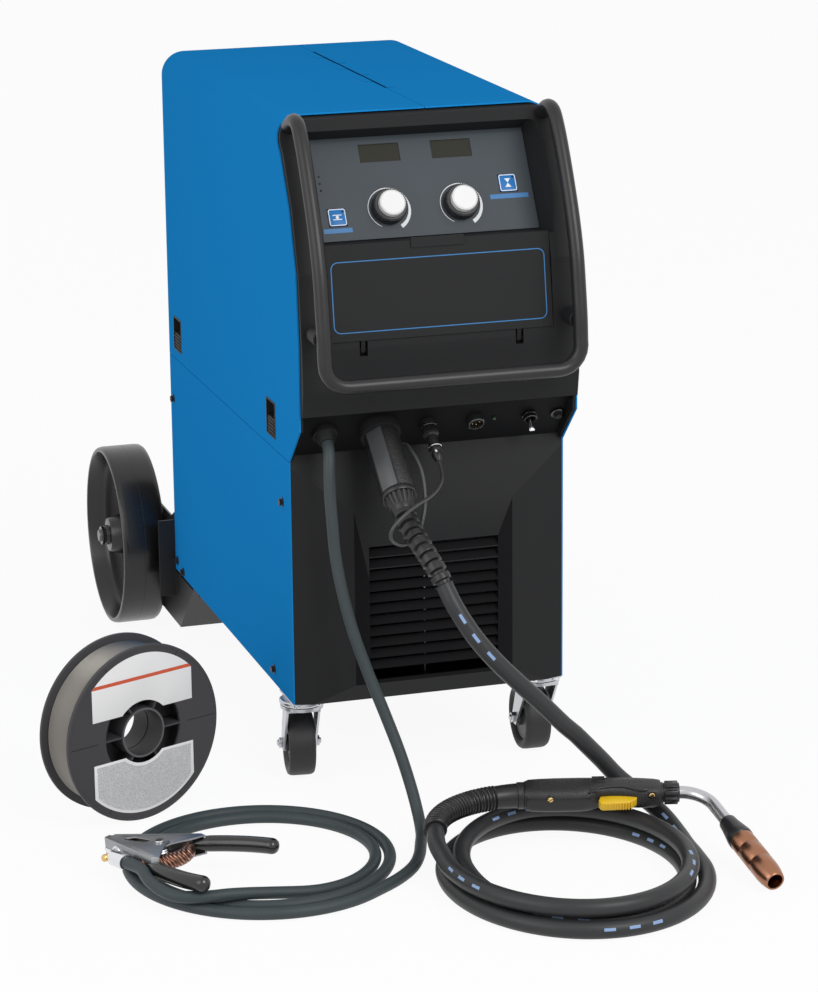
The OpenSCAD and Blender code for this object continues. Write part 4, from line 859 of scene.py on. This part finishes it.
attach(assemble(
    "overlay_print", ["print_white", "print_blue", "dark_print_and_painted_shade"],
    knob_scale(-41), knob_scale(41),
    *(put(on_panel(-113, v), 2, disc(1.1, PANEL_FACE, PANEL_FACE + THIN_FILM))
      for v in (25, 33, 41)),
    put(on_panel(-101, -22), 1, film_bar(16)), put(on_panel(98, 5), 1, film_bar(22))),
    "cabinet")


# %% Knobs
def knob(side):
    """A ribbed black skirt under a white cap."""
    place = on_panel(41 * side, 0)
    skirt = hollow(64, (3.05, 2.4), (19, 2.4), (19, 4), (18.2, 13.6), (17.4, 14.4), (14.6, 14.4),
                   (14.6, 10), (3.05, 10))
    cap = full(64, (14.2, 13.6), (14.7, 14), (14.7, 18.6), (14.4, 20.6), (12.8, 21.8))
    ribs = around(place, 0, 44, lambda: block((17.2, -0.55, 4.2), (19.3, 0.55, 13.4), 0.3))
    return assemble("knob." + SIDES[side], ["knob_black", "knob_white"],
                    put(place, 0, skirt), put(place, 1, cap), ribs)


for side, word in SIDES.items():
    dress(knob(side), "knob_" + word)


# %% Membrane buttons
def button(node, x, v, *mark):
    """A framed square film with a mark on it and a small dark dot."""
    half, top = 9.9, 3.3
    line = half - 0.4
    place = on_panel(x, v)
    dress(assemble(
        node + ".film", ["button_blue", "print_white", "dark_print_and_painted_shade"],
        put(place, 0, plate(round_corners((-half, -half), (half, half), 2.4), 1.2, top, 0.3)),
        put(place, 1, frame_line((-line, -line), (line, line), 2.2, 0.9, top + THIN_FILM)),
        put(place @ shift(0, 0, top), 1, *mark),
        put(place @ shift(6.4, 6.4, 0), 2, disc(1.0, top, top + THIN_FILM))), node)


button("button_left", -100, -7, block((-5, 2, 0), (5, 3, THIN_FILM)), disc(1.8, 0, THIN_FILM),
       block((-5, -3, 0), (5, -2, THIN_FILM)))
button("button_right", 98.5, 20, *(plate([(-3.4, 5 * way), (3.4, 5 * way), (0, 0.2 * way)], 0,
                                         THIN_FILM) for way in (1, -1)))

# %% Line on the flap
line = frame_line((-121, 9), (121, 86), 8, 1.1, 0.14)
attach(assemble("flap_line", ["print_blue"],
                put(local(turned("X", 81), at=(0, -56.5, 528)), 0, line)),
       "flap")

# %% [markdown]
# ## Carry handle
# The handle is a single bent tube. Its ends go into the bezel's top corners, and two short pads
# carry its uprights lower down. The route repeats the solid's, with more points in the bends.

# %% Handle
HANDLE_SIDE = [(38, 16), (22, 6), (8, 1), (-8, 4), (-22, 20), (-38, 46), (-56, 80), (-72, 115),
               (-84, 150), (-91, 185), (-96, 215), (-98, 240)]
HANDLE_X = 144
HANDLE_Y = -99
HANDLE_LOW = CABINET_TOP - 271
HANDLE_BEND = 26
HANDLE_RADIUS = 8
PAD_Z = CABINET_TOP - 219


def handle_route():
    half = [(HANDLE_X, y, CABINET_TOP - drop) for y, drop in HANDLE_SIDE]
    for k in range(7):
        angle = math.radians(15 * k)
        half.append((HANDLE_X - HANDLE_BEND * (1 - math.cos(angle)), HANDLE_Y,
                     HANDLE_LOW + HANDLE_BEND * (1 - math.sin(angle))))
    half += [(x, HANDLE_Y, HANDLE_LOW) for x in (110, 98, 76, 40)]
    other = [(-x, y, z) for x, y, z in reversed(half)]
    return smooth_route([spot(*p) for p in half + other], 0.006)


handle_rows = put(Matrix.Identity(4), 0, swept(handle_route(), HANDLE_RADIUS * MM, 28))
for side in SIDES:
    place = local(turned("X", -90), at=(HANDLE_X * side, -92, PAD_Z))
    handle_rows += put(place, 1, full(32, (8.8, 2), (10, 3.2), (10, 28.4), (9.4, 29.4)))
    handle_rows += put(place @ shift(0, 0, -6), 1, full(32, (5.6, -1.2), (6.4, -0.4), (6.4, 3)))
dress(assemble("handle", ["handle_paint", "black_moulding"], handle_rows), "carry_handle")

# %% [markdown]
# ## Gun connector
# The connector is a moulded body with one flat that catches the light and carries a paler painted
# highlight, a gripping patch beside it, and a fluted collar nut. Behind the nut a strain relief of
# thick rings carries the cable down.

# %% Connector
BODY_LENGTH = 96
COLLAR_LENGTH = 22
FLAT_HEADING = 133


def flatted(radius, flat, heading, steps=60):
    """A round outline with one flat side."""
    outline = []
    for k in range(steps):
        angle = 2 * math.pi * k / steps
        toward = math.cos(angle - math.radians(heading))
        outline.append(polar(min(radius, flat / toward) if toward > 0.2 else radius, angle))
    return outline


def fluted(radius, depth, count, share=0.6):
    """The outline of a grip with flutes cut along it."""
    low = radius - depth
    return [polar(reach, 2 * math.pi * (k + part) / count) for k in range(count)
            for part, reach in ((0, radius), (share / 2, radius + 0.2), (share, radius),
                                (share + 0.12, low), (0.88, low))]


wall = on_wall(CONNECTOR_X)
patch = band(lambda s: 18.2, lambda s: 19.35, 8, 98, 20)
dress(assemble(
    "gun_connector_body", ["gun_black", "knurl", "painted_flat_highlight"],
    put(wall, 0, plate(flatted(19, 16.5, FLAT_HEADING), 4.2, BODY_LENGTH - 2, 1.2, 3)),
    put(wall, 1, plate(patch, 16, BODY_LENGTH - 4, 0.4)),
    # A thin paler plate on the flat: a painted highlight.
    put(wall @ turned("Z", FLAT_HEADING), 2,
        block((16.0, -9.6, 9), (16.62, 9.6, BODY_LENGTH - 5), 0.2)),
    put(wall, 0,
        lathe([(10, 92), (19.2, 92), (19.8, 93), (19.8, 97), (19, 98.4), (10, 98.4)], 64),
        scaled_above(plate(fluted(17.4, 1.5, 18), 98, 112, 0.35), 104, 0.78, 0.78),
        lathe([(8, 110), (13.4, 110), (12.6, 116), (11.6, 118), (8, 118)]))), "gun_connector")

# %% Strain relief
RELIEF_RINGS = 9


def joined(start, leave, end, arrive, count):
    """A smooth path between two points with its directions there, and the path's length."""
    path = interpolate_bezier(start, start + leave, end - arrive, end, count)
    return path, route_length(path)


wall_out = Vector((0, -math.cos(math.radians(WALL_TILT)), -math.sin(math.radians(WALL_TILT))))
relief_start = (spot(CONNECTOR_X, CONNECTOR_Y, CONNECTOR_Z)
                + (BODY_LENGTH + COLLAR_LENGTH) * MM * wall_out)
relief_end = spot(*GUN_ROUTE[0])
relief_along = (spot(*GUN_ROUTE[1]) - relief_end).normalized()
relief_path, relief_length = joined(relief_start, 28 * MM * wall_out,
                                    relief_end, 34 * MM * relief_along, 126)


def relief_radius(distance):
    """Thick rings with sharp grooves between them."""
    share = distance / relief_length
    ring = (share * RELIEF_RINGS) % 1
    depth = 3.5 * min(1, max(0, (ring - 0.58) / 0.06)) * min(1, max(0, (1 - ring) / 0.06))
    return (12.8 - 2.0 * share - depth) * MM


strain_relief = dress(tube("strain_relief_rings", relief_path, relief_radius, 32), "strain_relief")
print("strain relief is", round(relief_length, 3), "m long")

# %% [markdown]
# ## Sockets, switch and lead plug
# Small threaded rings, contact pins and nuts give the shaded wall its glints. They sit on the eased
# solid, which keeps the sockets' own shape.

# %% Wall fittings
TRIGGER_X = -6
ACCESSORY_X = 49
LENS_X = 71
SWITCH_X = 112
BREAKER_X = 145

fittings = []
for x in (TRIGGER_X, ACCESSORY_X):
    ring = hollow(40, (7.7, 5), (9.3, 5), (9.3, 7.2), (8.7, 7.8), (7.7, 7.8))
    fittings += put(on_wall(x), 0, ring)
    fittings += around(on_wall(x), 0, 4, lambda: block((-1, 9.2, 5.4), (1, 10.4, 7.4), 0.3), 45)
attach(assemble(
    "wall_fittings", ["dark_metal", "brass", "lens_green"], fittings,
    around(on_wall(ACCESSORY_X), 1, 5, lambda: full(12, (0.8, 0), (0.8, 4.6), (0.5, 5)), out=4.4),
    put(on_wall(SWITCH_X), 0, hex_nut(9.2, 0.6, 3.4),
        hollow(32, (7.1, 3.4), (7.8, 3.4), (7.8, 7.6), (7.1, 8))),
    put(on_wall(BREAKER_X), 0, hollow(32, (5.6, 0.4), (7.6, 0.4), (7.6, 2.6), (5.6, 3))),
    put(on_wall(LENS_X), 2, lathe([(0, 1.4), (2.1, 1.4), (1.9, 2.6), (1, 3.3), (0, 3.5)], 20))),
    "cabinet")

# %% Switch lever
bat = lathe([(0, 0.5), (1.6, 0.5), (2, 12), (2.9, 16.4), (3, 18.6), (2.1, 20), (0, 20.2)], 32)
lean = on_wall(SWITCH_X) @ turned("X", 18)
dress(assemble("switch_lever_bat", ["bright_metal"], put(lean, 0, scaled_above(bat, 10, 1.25, 0.7)),
               put(lean @ turned("Y", 90), 0, disc(2, -5.7, 5.7))), "power_switch")

# %% Lead plug
plug = on_wall(TRIGGER_X)
trigger_plug = dress(assemble(
    "lead_plug", ["gun_black", "bright_metal"],
    put(plug, 1, full(40, (6.8, 2.2), (7, 6), (6.6, 6.4)),
        full(40, (7.6, 33), (7.9, 33.5), (7.9, 35), (7.4, 35.6))),
    put(plug, 0, plate(fluted(9, 0.9, 26, 0.5), 6.2, 17, 0.35),
        full(40, (8.2, 17), (8.2, 18.4), (6.2, 20), (6.2, 33)), hex_nut(8.1, 35.6, 41.5),
        full(32, (6, 41.5), (6, 46), (4.6, 50), (3, 54))),
    *(put(plug @ shift(0, 0, 43.5) @ turned("Z", 110) @ turned("Y", 90 * side) @ shift(0, 0, 5.6),
          1, full(16, (1.8, 0), (1.8, 1.6), (1.2, 2.2))) for side in SIDES)), "trigger_plug")

# %% [markdown]
# ## Gun
# The gun lies on its side with the trigger towards the viewer. Its grip is a loft: rounded
# sections carried along the gun and bridged. A smooth shell lies over the textured one.

# %% Boot
BOOT_RIBS = 24
BOOT_SMOOTH = 0.76
BOOT_BEAD = 0.95
boot_start = spot(*GUN_TAIL[2])
boot_end = spot(*GUN_AT)
boot_along = (boot_start - spot(*GUN_TAIL[1])).normalized()
gun_back = turned("Z", GUN_HEADING) @ Vector((1, 0, 0))
boot_path, boot_length = joined(boot_start, 40 * MM * boot_along, boot_end, 45 * MM * gun_back,
                                192)


def boot_radius(distance):
    """Fine ribs, then a smooth collar with a bead at the grip."""
    share = distance / boot_length
    if share > BOOT_BEAD:
        return 14.6 * MM
    if share > BOOT_SMOOTH:
        return (12.6 + 0.9 * (share - BOOT_SMOOTH) / (BOOT_BEAD - BOOT_SMOOTH)) * MM
    rib = 0.5 + 0.5 * math.cos(2 * math.pi * share / BOOT_SMOOTH * BOOT_RIBS)
    return (11.0 + 1.3 * share + 1.5 * min(1, 1.5 * rib)) * MM


gun_boot = dress(tube("gun_boot_ribs", boot_path, boot_radius, 32), "gun_boot")

# %% Grip
GRIP_LENGTH = 148
GRIP = [(0, 12.4, 14.4, 14), (6, 14, 16, 16), (18, 14.2, 17, 17.4), (34, 14.4, 17.4, 18),
        (62, 14.4, 17.4, 18), (72, 14.2, 17.2, 16.4), (80, 14, 17, 11.4), (90, 13.9, 17, 10.6),
        (104, 13.7, 16.8, 11.4), (114, 13.5, 16.4, 12.8), (122, 13.4, 16, 14.2),
        (130, 13.2, 15.2, 14.6), (140, 12.8, 14.2, 14.4), (GRIP_LENGTH, 12, 13, 13)]
SHELL = [(2.5, 11.6, 8, 15.4), (8, 12.8, 9, 17), (18, 13, 9, 18.2), (34, 13.1, 9, 18.8),
         (60, 13.1, 9, 18.8), (70, 12.9, 9, 17.6), (75, 12.4, 8, 14.4)]
ARCH = [(70, -13.0, -15.6), (76, -13.4, -11), (84, -13.7, -7.4), (96, -13.8, -6), (108, -13.7, -7),
        (117, -13.5, -10), (124, -13.2, -13)]
BROW = [(-6, -13.2, -9), (-3, -13.4, -11.5), (0, -13.4, -12.8), (3, -13.4, -12.8), (6, -13, -12)]


def section(bm, x, half, up, down, power, sides=40):
    """A ring across the gun, between an ellipse and a rectangle."""
    ring = bmesh.ops.create_circle(bm, segments=sides, radius=1, cap_ends=False)["verts"]
    for vert in ring:
        away, high = vert.co.x, vert.co.y
        reach = (abs(away) ** power + abs(high) ** power) ** (-1 / power)
        vert.co = (x, half * away * reach, (up if high > 0 else down) * high * reach)
    return loop_of(ring)


def loft(sections, power, inset=1.6):
    """Bridges sections (x, half width, up, down), with round edges at both closed ends."""
    def smaller(part, along, share):
        return (part[0] + along, *(size - inset * share for size in part[1:]))
    first, last = sections[0], sections[-1]
    rounded = [smaller(first, 0, 1), smaller(first, 0.4, 0.4), smaller(first, inset, 0),
               *sections[1:-1],
               smaller(last, -inset, 0), smaller(last, -0.4, 0.4), smaller(last, 0, 1)]
    bm = bmesh.new()
    loops = [section(bm, *sizes, power) for sizes in rounded]
    for near, far in zip(loops, loops[1:]):
        bmesh.ops.bridge_loops(bm, edges=near + far)
    for loop in (loops[0], loops[-1]):
        bmesh.ops.holes_fill(bm, edges=loop, sides=0)
    bmesh.ops.recalc_face_normals(bm, faces=bm.faces)
    return bm


grip_rows = put(AT_GUN, 0, loft(GRIP, 3.4))
grip_rows += put(AT_GUN @ shift(0, 0.4, 0), 1, loft(SHELL, 3.8, 0.9))
for middle_x in (76, 126):
    brow = [Vector((middle_x + x, y, z)) for x, y, z in BROW]
    grip_rows += put(AT_GUN, 1, swept(brow, 1.5, 12))
grip_rows += put(AT_GUN, 1, swept(smooth_route(ARCH, 3), 1.3, 12))
for x, depth in ((28, 18.4), (137, 14.2)):
    seat = AT_GUN @ shift(x, -7.5, -depth) @ turned("X", 180)
    grip_rows += put(seat, 1, full(32, (4.6, -1), (4.9, 0.5), (4.4, 0.9), (3.4, 0.9), (3.3, 0.2)))
    grip_rows += put(seat, 2, lathe([(0, 0), (3.1, 0), (3.1, 0.9), (2.4, 1.5), (0, 1.7)], 24))
    # A near-black strip across each screw head: painted shade for its slot.
    grip_rows += put(seat @ turned("Z", 35), 3, block((-2.6, -0.4, 1.5), (2.6, 0.4, 1.85), 0.1))
grip_rows += put(AT_GUN @ shift(8, 0, 8), 1, *(
    block((66 + 0.1 * k, -14.6, -6 + 4.6 * k), (80, -13.2, -4.8 + 4.6 * k), 0.3) for k in range(3)))
gun_grip = dress(assemble("gun_grip_shells", ["grip_texture", "gun_black", "brass", "dark_print_and_painted_shade"],
                          grip_rows), "gun_grip")

# %% Trigger
TRIGGER = [(122, -12), (123, -8), (116, -7.5), (82, -11), (79.6, -18), (82, -23.2), (86, -23.8),
           (112, -22.2), (120, -17)]
flip = Matrix(((1, 0, 0, 0), (0, 0, 1, 0), (0, 1, 0, 0), (0, 0, 0, 1)))
ribs = [block((84 + 3 * k, -4.3, -24.4 + 0.06 * k), (85.4 + 3 * k, 4.3, -22.6 + 0.06 * k), 0.3)
        for k in range(11)]
gun_trigger = dress(assemble(
    "gun_trigger_lever", ["trigger_yellow"],
    put(AT_GUN @ flip, 0, plate(TRIGGER, -4.9, 4.9, 0.9, 3)), put(AT_GUN, 0, *ribs)),
    "gun_trigger")

# %% Neck
NUT_LENGTH = 19
NECK_RADIUS = 38
NECK_BEND = 70
NECK_END = 34
neck_turn = math.radians(NECK_BEND)
neck = [Vector((158, 0, 0)), Vector((163, 0, 0))]
for k in range(15):
    angle = math.radians(NECK_BEND * k / 14)
    neck.append(Vector((GRIP_LENGTH + NUT_LENGTH + NECK_RADIUS * math.sin(angle), 0,
                        -NECK_RADIUS * (1 - math.cos(angle)))))
neck.append(neck[-1] + NECK_END * Vector((math.cos(neck_turn), 0, -math.sin(neck_turn))))
gun_neck = dress(assemble(
    "gun_neck_tube", ["gun_black", "neck_steel"],
    put(AT_GUN @ turned("Y", 90), 0,
        lathe([(7, 146), (11.4, 146), (11.4, 150), (10.4, 151), (10.4, 153), (7, 153)], 40),
        plate(fluted(12.6, 2.2, 8, 0.55), 152, 166, 0.5),
        lathe([(7, 165), (11, 165), (10.4, 167.5), (7.6, 168), (7, 168)], 40)),
    put(AT_GUN, 1, swept(neck, 7, 32))), "gun_neck")

# %% Nozzle
AT_TIP = AT_GUN @ Matrix.Translation(neck[-1]) @ turned("Y", 90 + NECK_BEND)
gun_nozzle = dress(assemble(
    "gun_nozzle_cup", ["gun_black", "nozzle_copper"],
    put(AT_TIP, 0, lathe([(6, -3), (8.8, -3), (9.6, -1.5), (10.4, 6), (13.2, 22), (13.9, 26),
                          (13.9, 31), (13, 32), (6, 32)], 56)),
    put(AT_TIP, 1,
        hollow(64, (9, 32), (13.2, 32), (13.4, 33), (13.4, 47), (12.8, 48.2), (12.8, 50),
               (13.5, 51.2), (13.5, 72), (12.9, 73), (12.9, 75), (13.5, 76.2), (13.5, 90),
               (12.9, 97), (11.6, 104), (10.6, 107.4), (10.1, 108), (8.6, 107.6), (8.3, 104),
               (8.3, 48), (9, 46)),
        full(32, (5, 44), (5, 75), (4, 76), (3, 96), (2.2, 97), (0.8, 97), (0.8, 92)))),
    "gun_nozzle")

# %% [markdown]
# ## Work clamp
# Each arm is a folded steel channel: two cheeks and a web, with a slot between jaw and pivot. The
# grips are dipped sleeves, a woven copper braid joins the arms, and the cable's lug is bolted on.

# %% Clamp arms
ARM = [(66, 1), (66, 9), (-22, 44), (-30, 41), (-12, 6), (-8, -7), (8, -7), (14, 6.4), (40, 8),
       (45, 1)]
WEB = [(66, 6.9), (66, 9.2), (-22, 44.2), (-30, 41.2), (-29, 38.9), (-21, 41.6)]
CLAMP_HALF = 13
EAR = 2
SLEEVE_ROUTE = smooth_route([(-16, 36, 0), (-24, 40.5, 0), (-32, 45, 0), (-50, 52, 0),
                             (-72, 58, 0), (-92, 61, 0), (-108, 62, 0)], 2.5)
SLEEVE_LENGTH = route_length(SLEEVE_ROUTE)


def sleeve_radius(distance):
    """Slimmer where it leaves the arm, round at its tip."""
    away = SLEEVE_LENGTH - distance
    tip = math.sqrt(max(0.02, 1 - (1 - min(1, away / 8)) ** 2))
    return 8.7 * min(1, 0.72 + distance / 60) * tip


def clamp_arm(half, place):
    cheeks = [plate(ARM, low, low + EAR, 0.5) for low in (-half, half - EAR)]
    teeth = [block((44.5 + 3.4 * k, 0.1, -7), (46 + 3.4 * k, 0.9, 7), 0.2) for k in range(6)]
    return [*put(place, 0, *cheeks, plate(WEB, -half + 0.4, half - 0.4, 0.4)),
            *put(place, 1, block((43, 0.6, -7.5), (65, 7, 7.5), 0.6), *teeth),
            *put(place, 2, swept(SLEEVE_ROUTE, sleeve_radius, 28))]


# %% Clamp
BOLT_AT = Vector((42, 18.5, 0))
WEB_OUT = Vector((0.370, 0.929, 0))
WEB_ALONG = Vector((0.929, -0.370, 0))
braid_path = smooth_route([(-4, 35, 0), (-16, 29, 0), (-25, 17, 0), (-29, 3, 0), (-27, -11, 0),
                           (-20, -22, 0)], 1.6)
braid_length = route_length(braid_path)
bolt = AT_CLAMP @ Matrix.Translation(BOLT_AT) @ facing(WEB_OUT)
lug = AT_CLAMP @ Matrix.Translation(BOLT_AT + 8.3 * WEB_OUT) @ facing(-WEB_ALONG)
spring = []
for k in range(5):
    turns = (2 * math.pi * i / 20 for i in range(21))
    spring.append(swept([Vector((*polar(8, a), -6 + 2.4 * k + 2.4 * a / (2 * math.pi)))
                         for a in turns], 0.95, 8))
clamp = dress(assemble(
    "clamp_frame", ["clamp_zinc", "copper", "dipped_sleeve", "braid", "bright_metal", "brass"],
    clamp_arm(CLAMP_HALF, AT_CLAMP),
    put(AT_CLAMP, 3, swept(braid_path, lambda distance: 7.2 + 1.2 * math.sin(
        math.pi * min(1, distance / braid_length)), 28)),
    put(AT_CLAMP, 4, *spring,
        full(28, *both_ways((4.6, -14.8), (4.8, -14.2), (4.8, -13.2), (3, -13)))),
    put(bolt, 4, hex_nut(7.4, 3.2, 8.6), full(36, (9, -2), (9.2, 0), (9.2, 1.6), (8.8, 2)),
        full(32, (7.6, 2), (7.6, 3.2))),
    put(bolt, 5, full(24, (3.9, 8), (3.9, 17.6), (3.2, 18.8))),
    put(lug, 4, hollow(36, (6.5, 5), (8.3, 5), (8.5, 6), (8.5, 27), (7.8, 30), (6.6, 30)),
        plate(round_corners((-8, -2.6), (8, -0.2), 1.1, 3), -9, 8, 0.3))), "work_clamp_base")

flipped = AT_CLAMP @ Matrix.Diagonal((1, -1, 1, 1))
jaw = dress(assemble("clamp_moving_arm", ["clamp_zinc", "copper", "dipped_sleeve"],
                     clamp_arm(CLAMP_HALF - EAR - 0.4, flipped)), "work_clamp_jaw")

# %% [markdown]
# ## Wire spool
# A moulded spool: a grained flange with a plain rim, a bore on six spokes with dark pockets between
# them, two blank label fields, and close turns of wire behind.

# %% Spool
BORE = 25.5
CORE = 60
spool_rows = []


def spoke():
    return block((BORE + 2, -1.1, 1), (CORE - 1, 1.1, 26.8), 0.4)


# A groove is drawn as a thin near-black strip on the flange: painted shade.
def groove():
    return block((60, -0.25, 27), (96, 0.25, 27.12))


for place in (AT_SPOOL, AT_SPOOL @ turned("X", 180)):
    spool_rows += put(place, 0, pipe(72, BORE, BORE + 3, 26.6, 1), hollow(
        128, (CORE, 23.5), (49.4, 23.5), (49.4, 26), (50, 27), (96.4, 27), (96.8, 27.5),
        (99, 27.5), (100, 27), (100, 24), (99, 23.5)))
    spool_rows += put(place, 1, pipe(72, BORE + 0.4, BORE + 2.4, 26.4, 27.4))
    spool_rows += around(place, 0, 6, spoke) + around(place, 2, 6, groove)
spool_rows += put(AT_SPOOL, 0, pipe(96, 57, CORE, -24, 24), pipe(72, BORE + 1, 58, -1, 1))
dress(assemble("spool_flanges", ["spool_black", "spool_ring", "dark_print_and_painted_shade"], spool_rows),
      "wire_spool")

# %% Labels
SIDE_X = 66.5
LABEL_RADIUS = 91
LABEL_LOW = 27.05
LABEL_TOP = 27.3
LABEL_INK = (27.28, 27.36)
corner = math.degrees(math.acos(SIDE_X / LABEL_RADIUS))


def label(radius, inner, side_x, side_y, start=corner):
    """A label field: a round outer edge, straight sides, and a round cut at the bore."""
    bite = math.degrees(math.asin(side_y / inner))
    return [*arc(radius, start, 180 - corner - (start - corner), 24), (-side_x, side_y),
            *arc(inner, 180 - bite, bite, 16), (side_x, side_y)]


below = AT_SPOOL @ turned("Z", 180)
upper = label(LABEL_RADIUS, 37, SIDE_X, 25)
lower = label(LABEL_RADIUS, 34, SIDE_X, 24)
inset = label(LABEL_RADIUS - 3, 37.5, SIDE_X - 3.5, 27, corner + 2)
stripe = [(-SIDE_X, 62), (SIDE_X, 62), (62.5, 66), (-62.5, 66)]
attach(assemble(
    "spool_labels", ["label_white", "label_stripe", "label_grey"],
    put(AT_SPOOL, 0, plate(upper, LABEL_LOW, LABEL_TOP, 0.1)),
    put(AT_SPOOL, 1, plate(stripe, *LABEL_INK)),
    put(below, 0, plate(lower, LABEL_LOW, LABEL_TOP, 0.1)),
    put(below, 2, plate(inset, *LABEL_INK))), "spool")

# %% Winding
TURNS = 26
WIND_RADIUS = 91
bead = []
for k in range(TURNS):
    for part in range(6):
        angle = math.pi * (part + 0.5) / 6
        bead.append((WIND_RADIUS - 0.3 + 1.1 * math.sin(angle),
                     -23 + 46 * (k + 0.5 - 0.5 * math.cos(angle)) / TURNS))
wound = hollow(96, (CORE + 0.5, -23.2), *bead, (CORE + 0.5, 23.2))
dress(assemble("spool_winding", ["wire_grey"], put(AT_SPOOL, 0, wound)), "spool_wire")

# %% [markdown]
# ## Casters and rear wheels
# Casters are pressed and plated, with a rubber tyre on a plastic core. The rear wheels are one
# moulded dish each: a wide smooth tread with a fine mould line, a thin rim and a deep face.

# %% Casters
CASTER_X = 141
CASTER_Y = 32
CASTER_YAW = {-1: -8, 1: -2}
CASTER_TRAIL = 32
CASTER_RADIUS = 38
TYRE = both_ways((26, -11), (29, -14), (33.5, -15.4), (36, -14.6), (37.6, -12), (38, -8))
WHEEL_CORE = both_ways((4.1, -16.2), (9.4, -16.2), (10, -15.6), (10, -11.4), (26.4, -10.6))
races = []
for side, word in SIDES.items():
    swivel = local(turned("Z", CASTER_YAW[side]), at=(side * CASTER_X, CASTER_Y, 0))
    axle = swivel @ shift(0, CASTER_TRAIL, CASTER_RADIUS) @ turned("Y", 90)
    dress(assemble("caster_tyre." + word, ["caster_rubber", "caster_core"],
                   put(axle, 0, hollow(72, *TYRE)), put(axle, 1, hollow(48, *WHEEL_CORE))),
          "caster_wheel_" + word)
    caps = []
    for place in (axle @ turned("X", 180), axle):
        caps += put(place, 0, hex_nut(6.4, 19.3, 23.2),
                    full(20, (3.4, 23), (3.4, 24.6), (2.8, 25.2)))
    attach(assemble("caster_axle_nuts." + word, ["zinc_plate"], caps),
           "caster_" + word)
    place = local(at=(side * CASTER_X, CASTER_Y, 102))
    races += put(
        place, 0, block((-18, -29, -0.1), (18, 29, 2.9), 0.6),
        full(56, (24, -0.2), (25.4, -1.4), (25.6, -3.6), (24.6, -5.4), (22, -6)),
        full(24, (6.8, -15), (7, -14), (7, -11), (5, -10.4)))
    for x, y in ((-12.5, -23), (-12.5, 23), (12.5, -23), (12.5, 23)):
        races += put(place @ shift(x, y, 0), 1, hex_nut(4.2, -3.6, -0.1))
dress(assemble("caster_races", ["zinc_plate", "bright_metal"], races), "caster_plates")

# %% Rear wheels
WHEEL_X = 162
WHEEL_RADIUS = 115
AXLE_Y = CABINET_DEPTH + 145
WHEEL = [(8.1, 0.5), (26, 0.5), (30, 14), (98, 17), (104, 4), (109, 1), (112.6, 1.4), (114.4, 4),
         (115, 9), (115, 28), (114.7, 28.3), (114.7, 28.9), (115, 29.2), (115, 49), (114.4, 53),
         (113, 55.6), (111, 56.4), (108.6, 56), (107.4, 54), (105.4, 38), (103, 33), (98, 30),
         (60, 27.6), (36, 26.6), (28, 30), (25, 38), (22.6, 50), (21, 52), (13, 52.6), (12, 56.6),
         (8.1, 56.6)]
axles = []
for side, word in SIDES.items():
    place = local(turned("Y", 90 * side), at=(side * WHEEL_X, AXLE_Y, WHEEL_RADIUS))
    dress(assemble("rear_wheel_dish." + word, ["wheel_rubber"],
                   put(place, 0, hollow(128, *WHEEL))), "rear_wheel_" + word)
    axles += put(
        local(turned("Y", 90 * side), at=(0, AXLE_Y, WHEEL_RADIUS)), 0,
        full(40, (12.4, 147), (13, 147.6), (13, 156), (8, 156), (8, 225.4), (7, 227)),
        hollow(40, (8.2, 219.8), (11.6, 219.8), (12, 220.4), (12, 223.4), (11.4, 224), (8.2, 224)))
dress(assemble("wheel_axles", ["dark_metal"], axles), "stub_axles")

# %% [markdown]
# ## Latches
# Each latch is a slide in a cup that is sunk into the door. The cup is lined in black, and the
# slide carries a few ridges for a finger.

# %% Latches
LATCH_Z = CABINET_TOP - 375 + 33
CUP = [((-20.4, -18.4, -7.6), (20.4, 18.4, -7.2)), ((-20.4, -18.4, -7.4), (20.4, -17.6, 0)),
       ((-20.4, 17.6, -7.4), (20.4, 18.4, 0)), ((19.6, -18.4, -7.4), (20.4, 18.4, 0))]
for node, y in (("latch_front", 73), ("latch_rear", CABINET_DEPTH - 46)):
    place = local(turned("Y", -90), at=(-HALF_WIDTH, y, LATCH_Z))
    liner = put(place, 0, frame_line((-21, -19), (21, 19), 2.4, 2.2, 0.5),
                *(block(low, high) for low, high in CUP))
    attach(assemble(node + ".liner", ["black_moulding"], liner), "door")
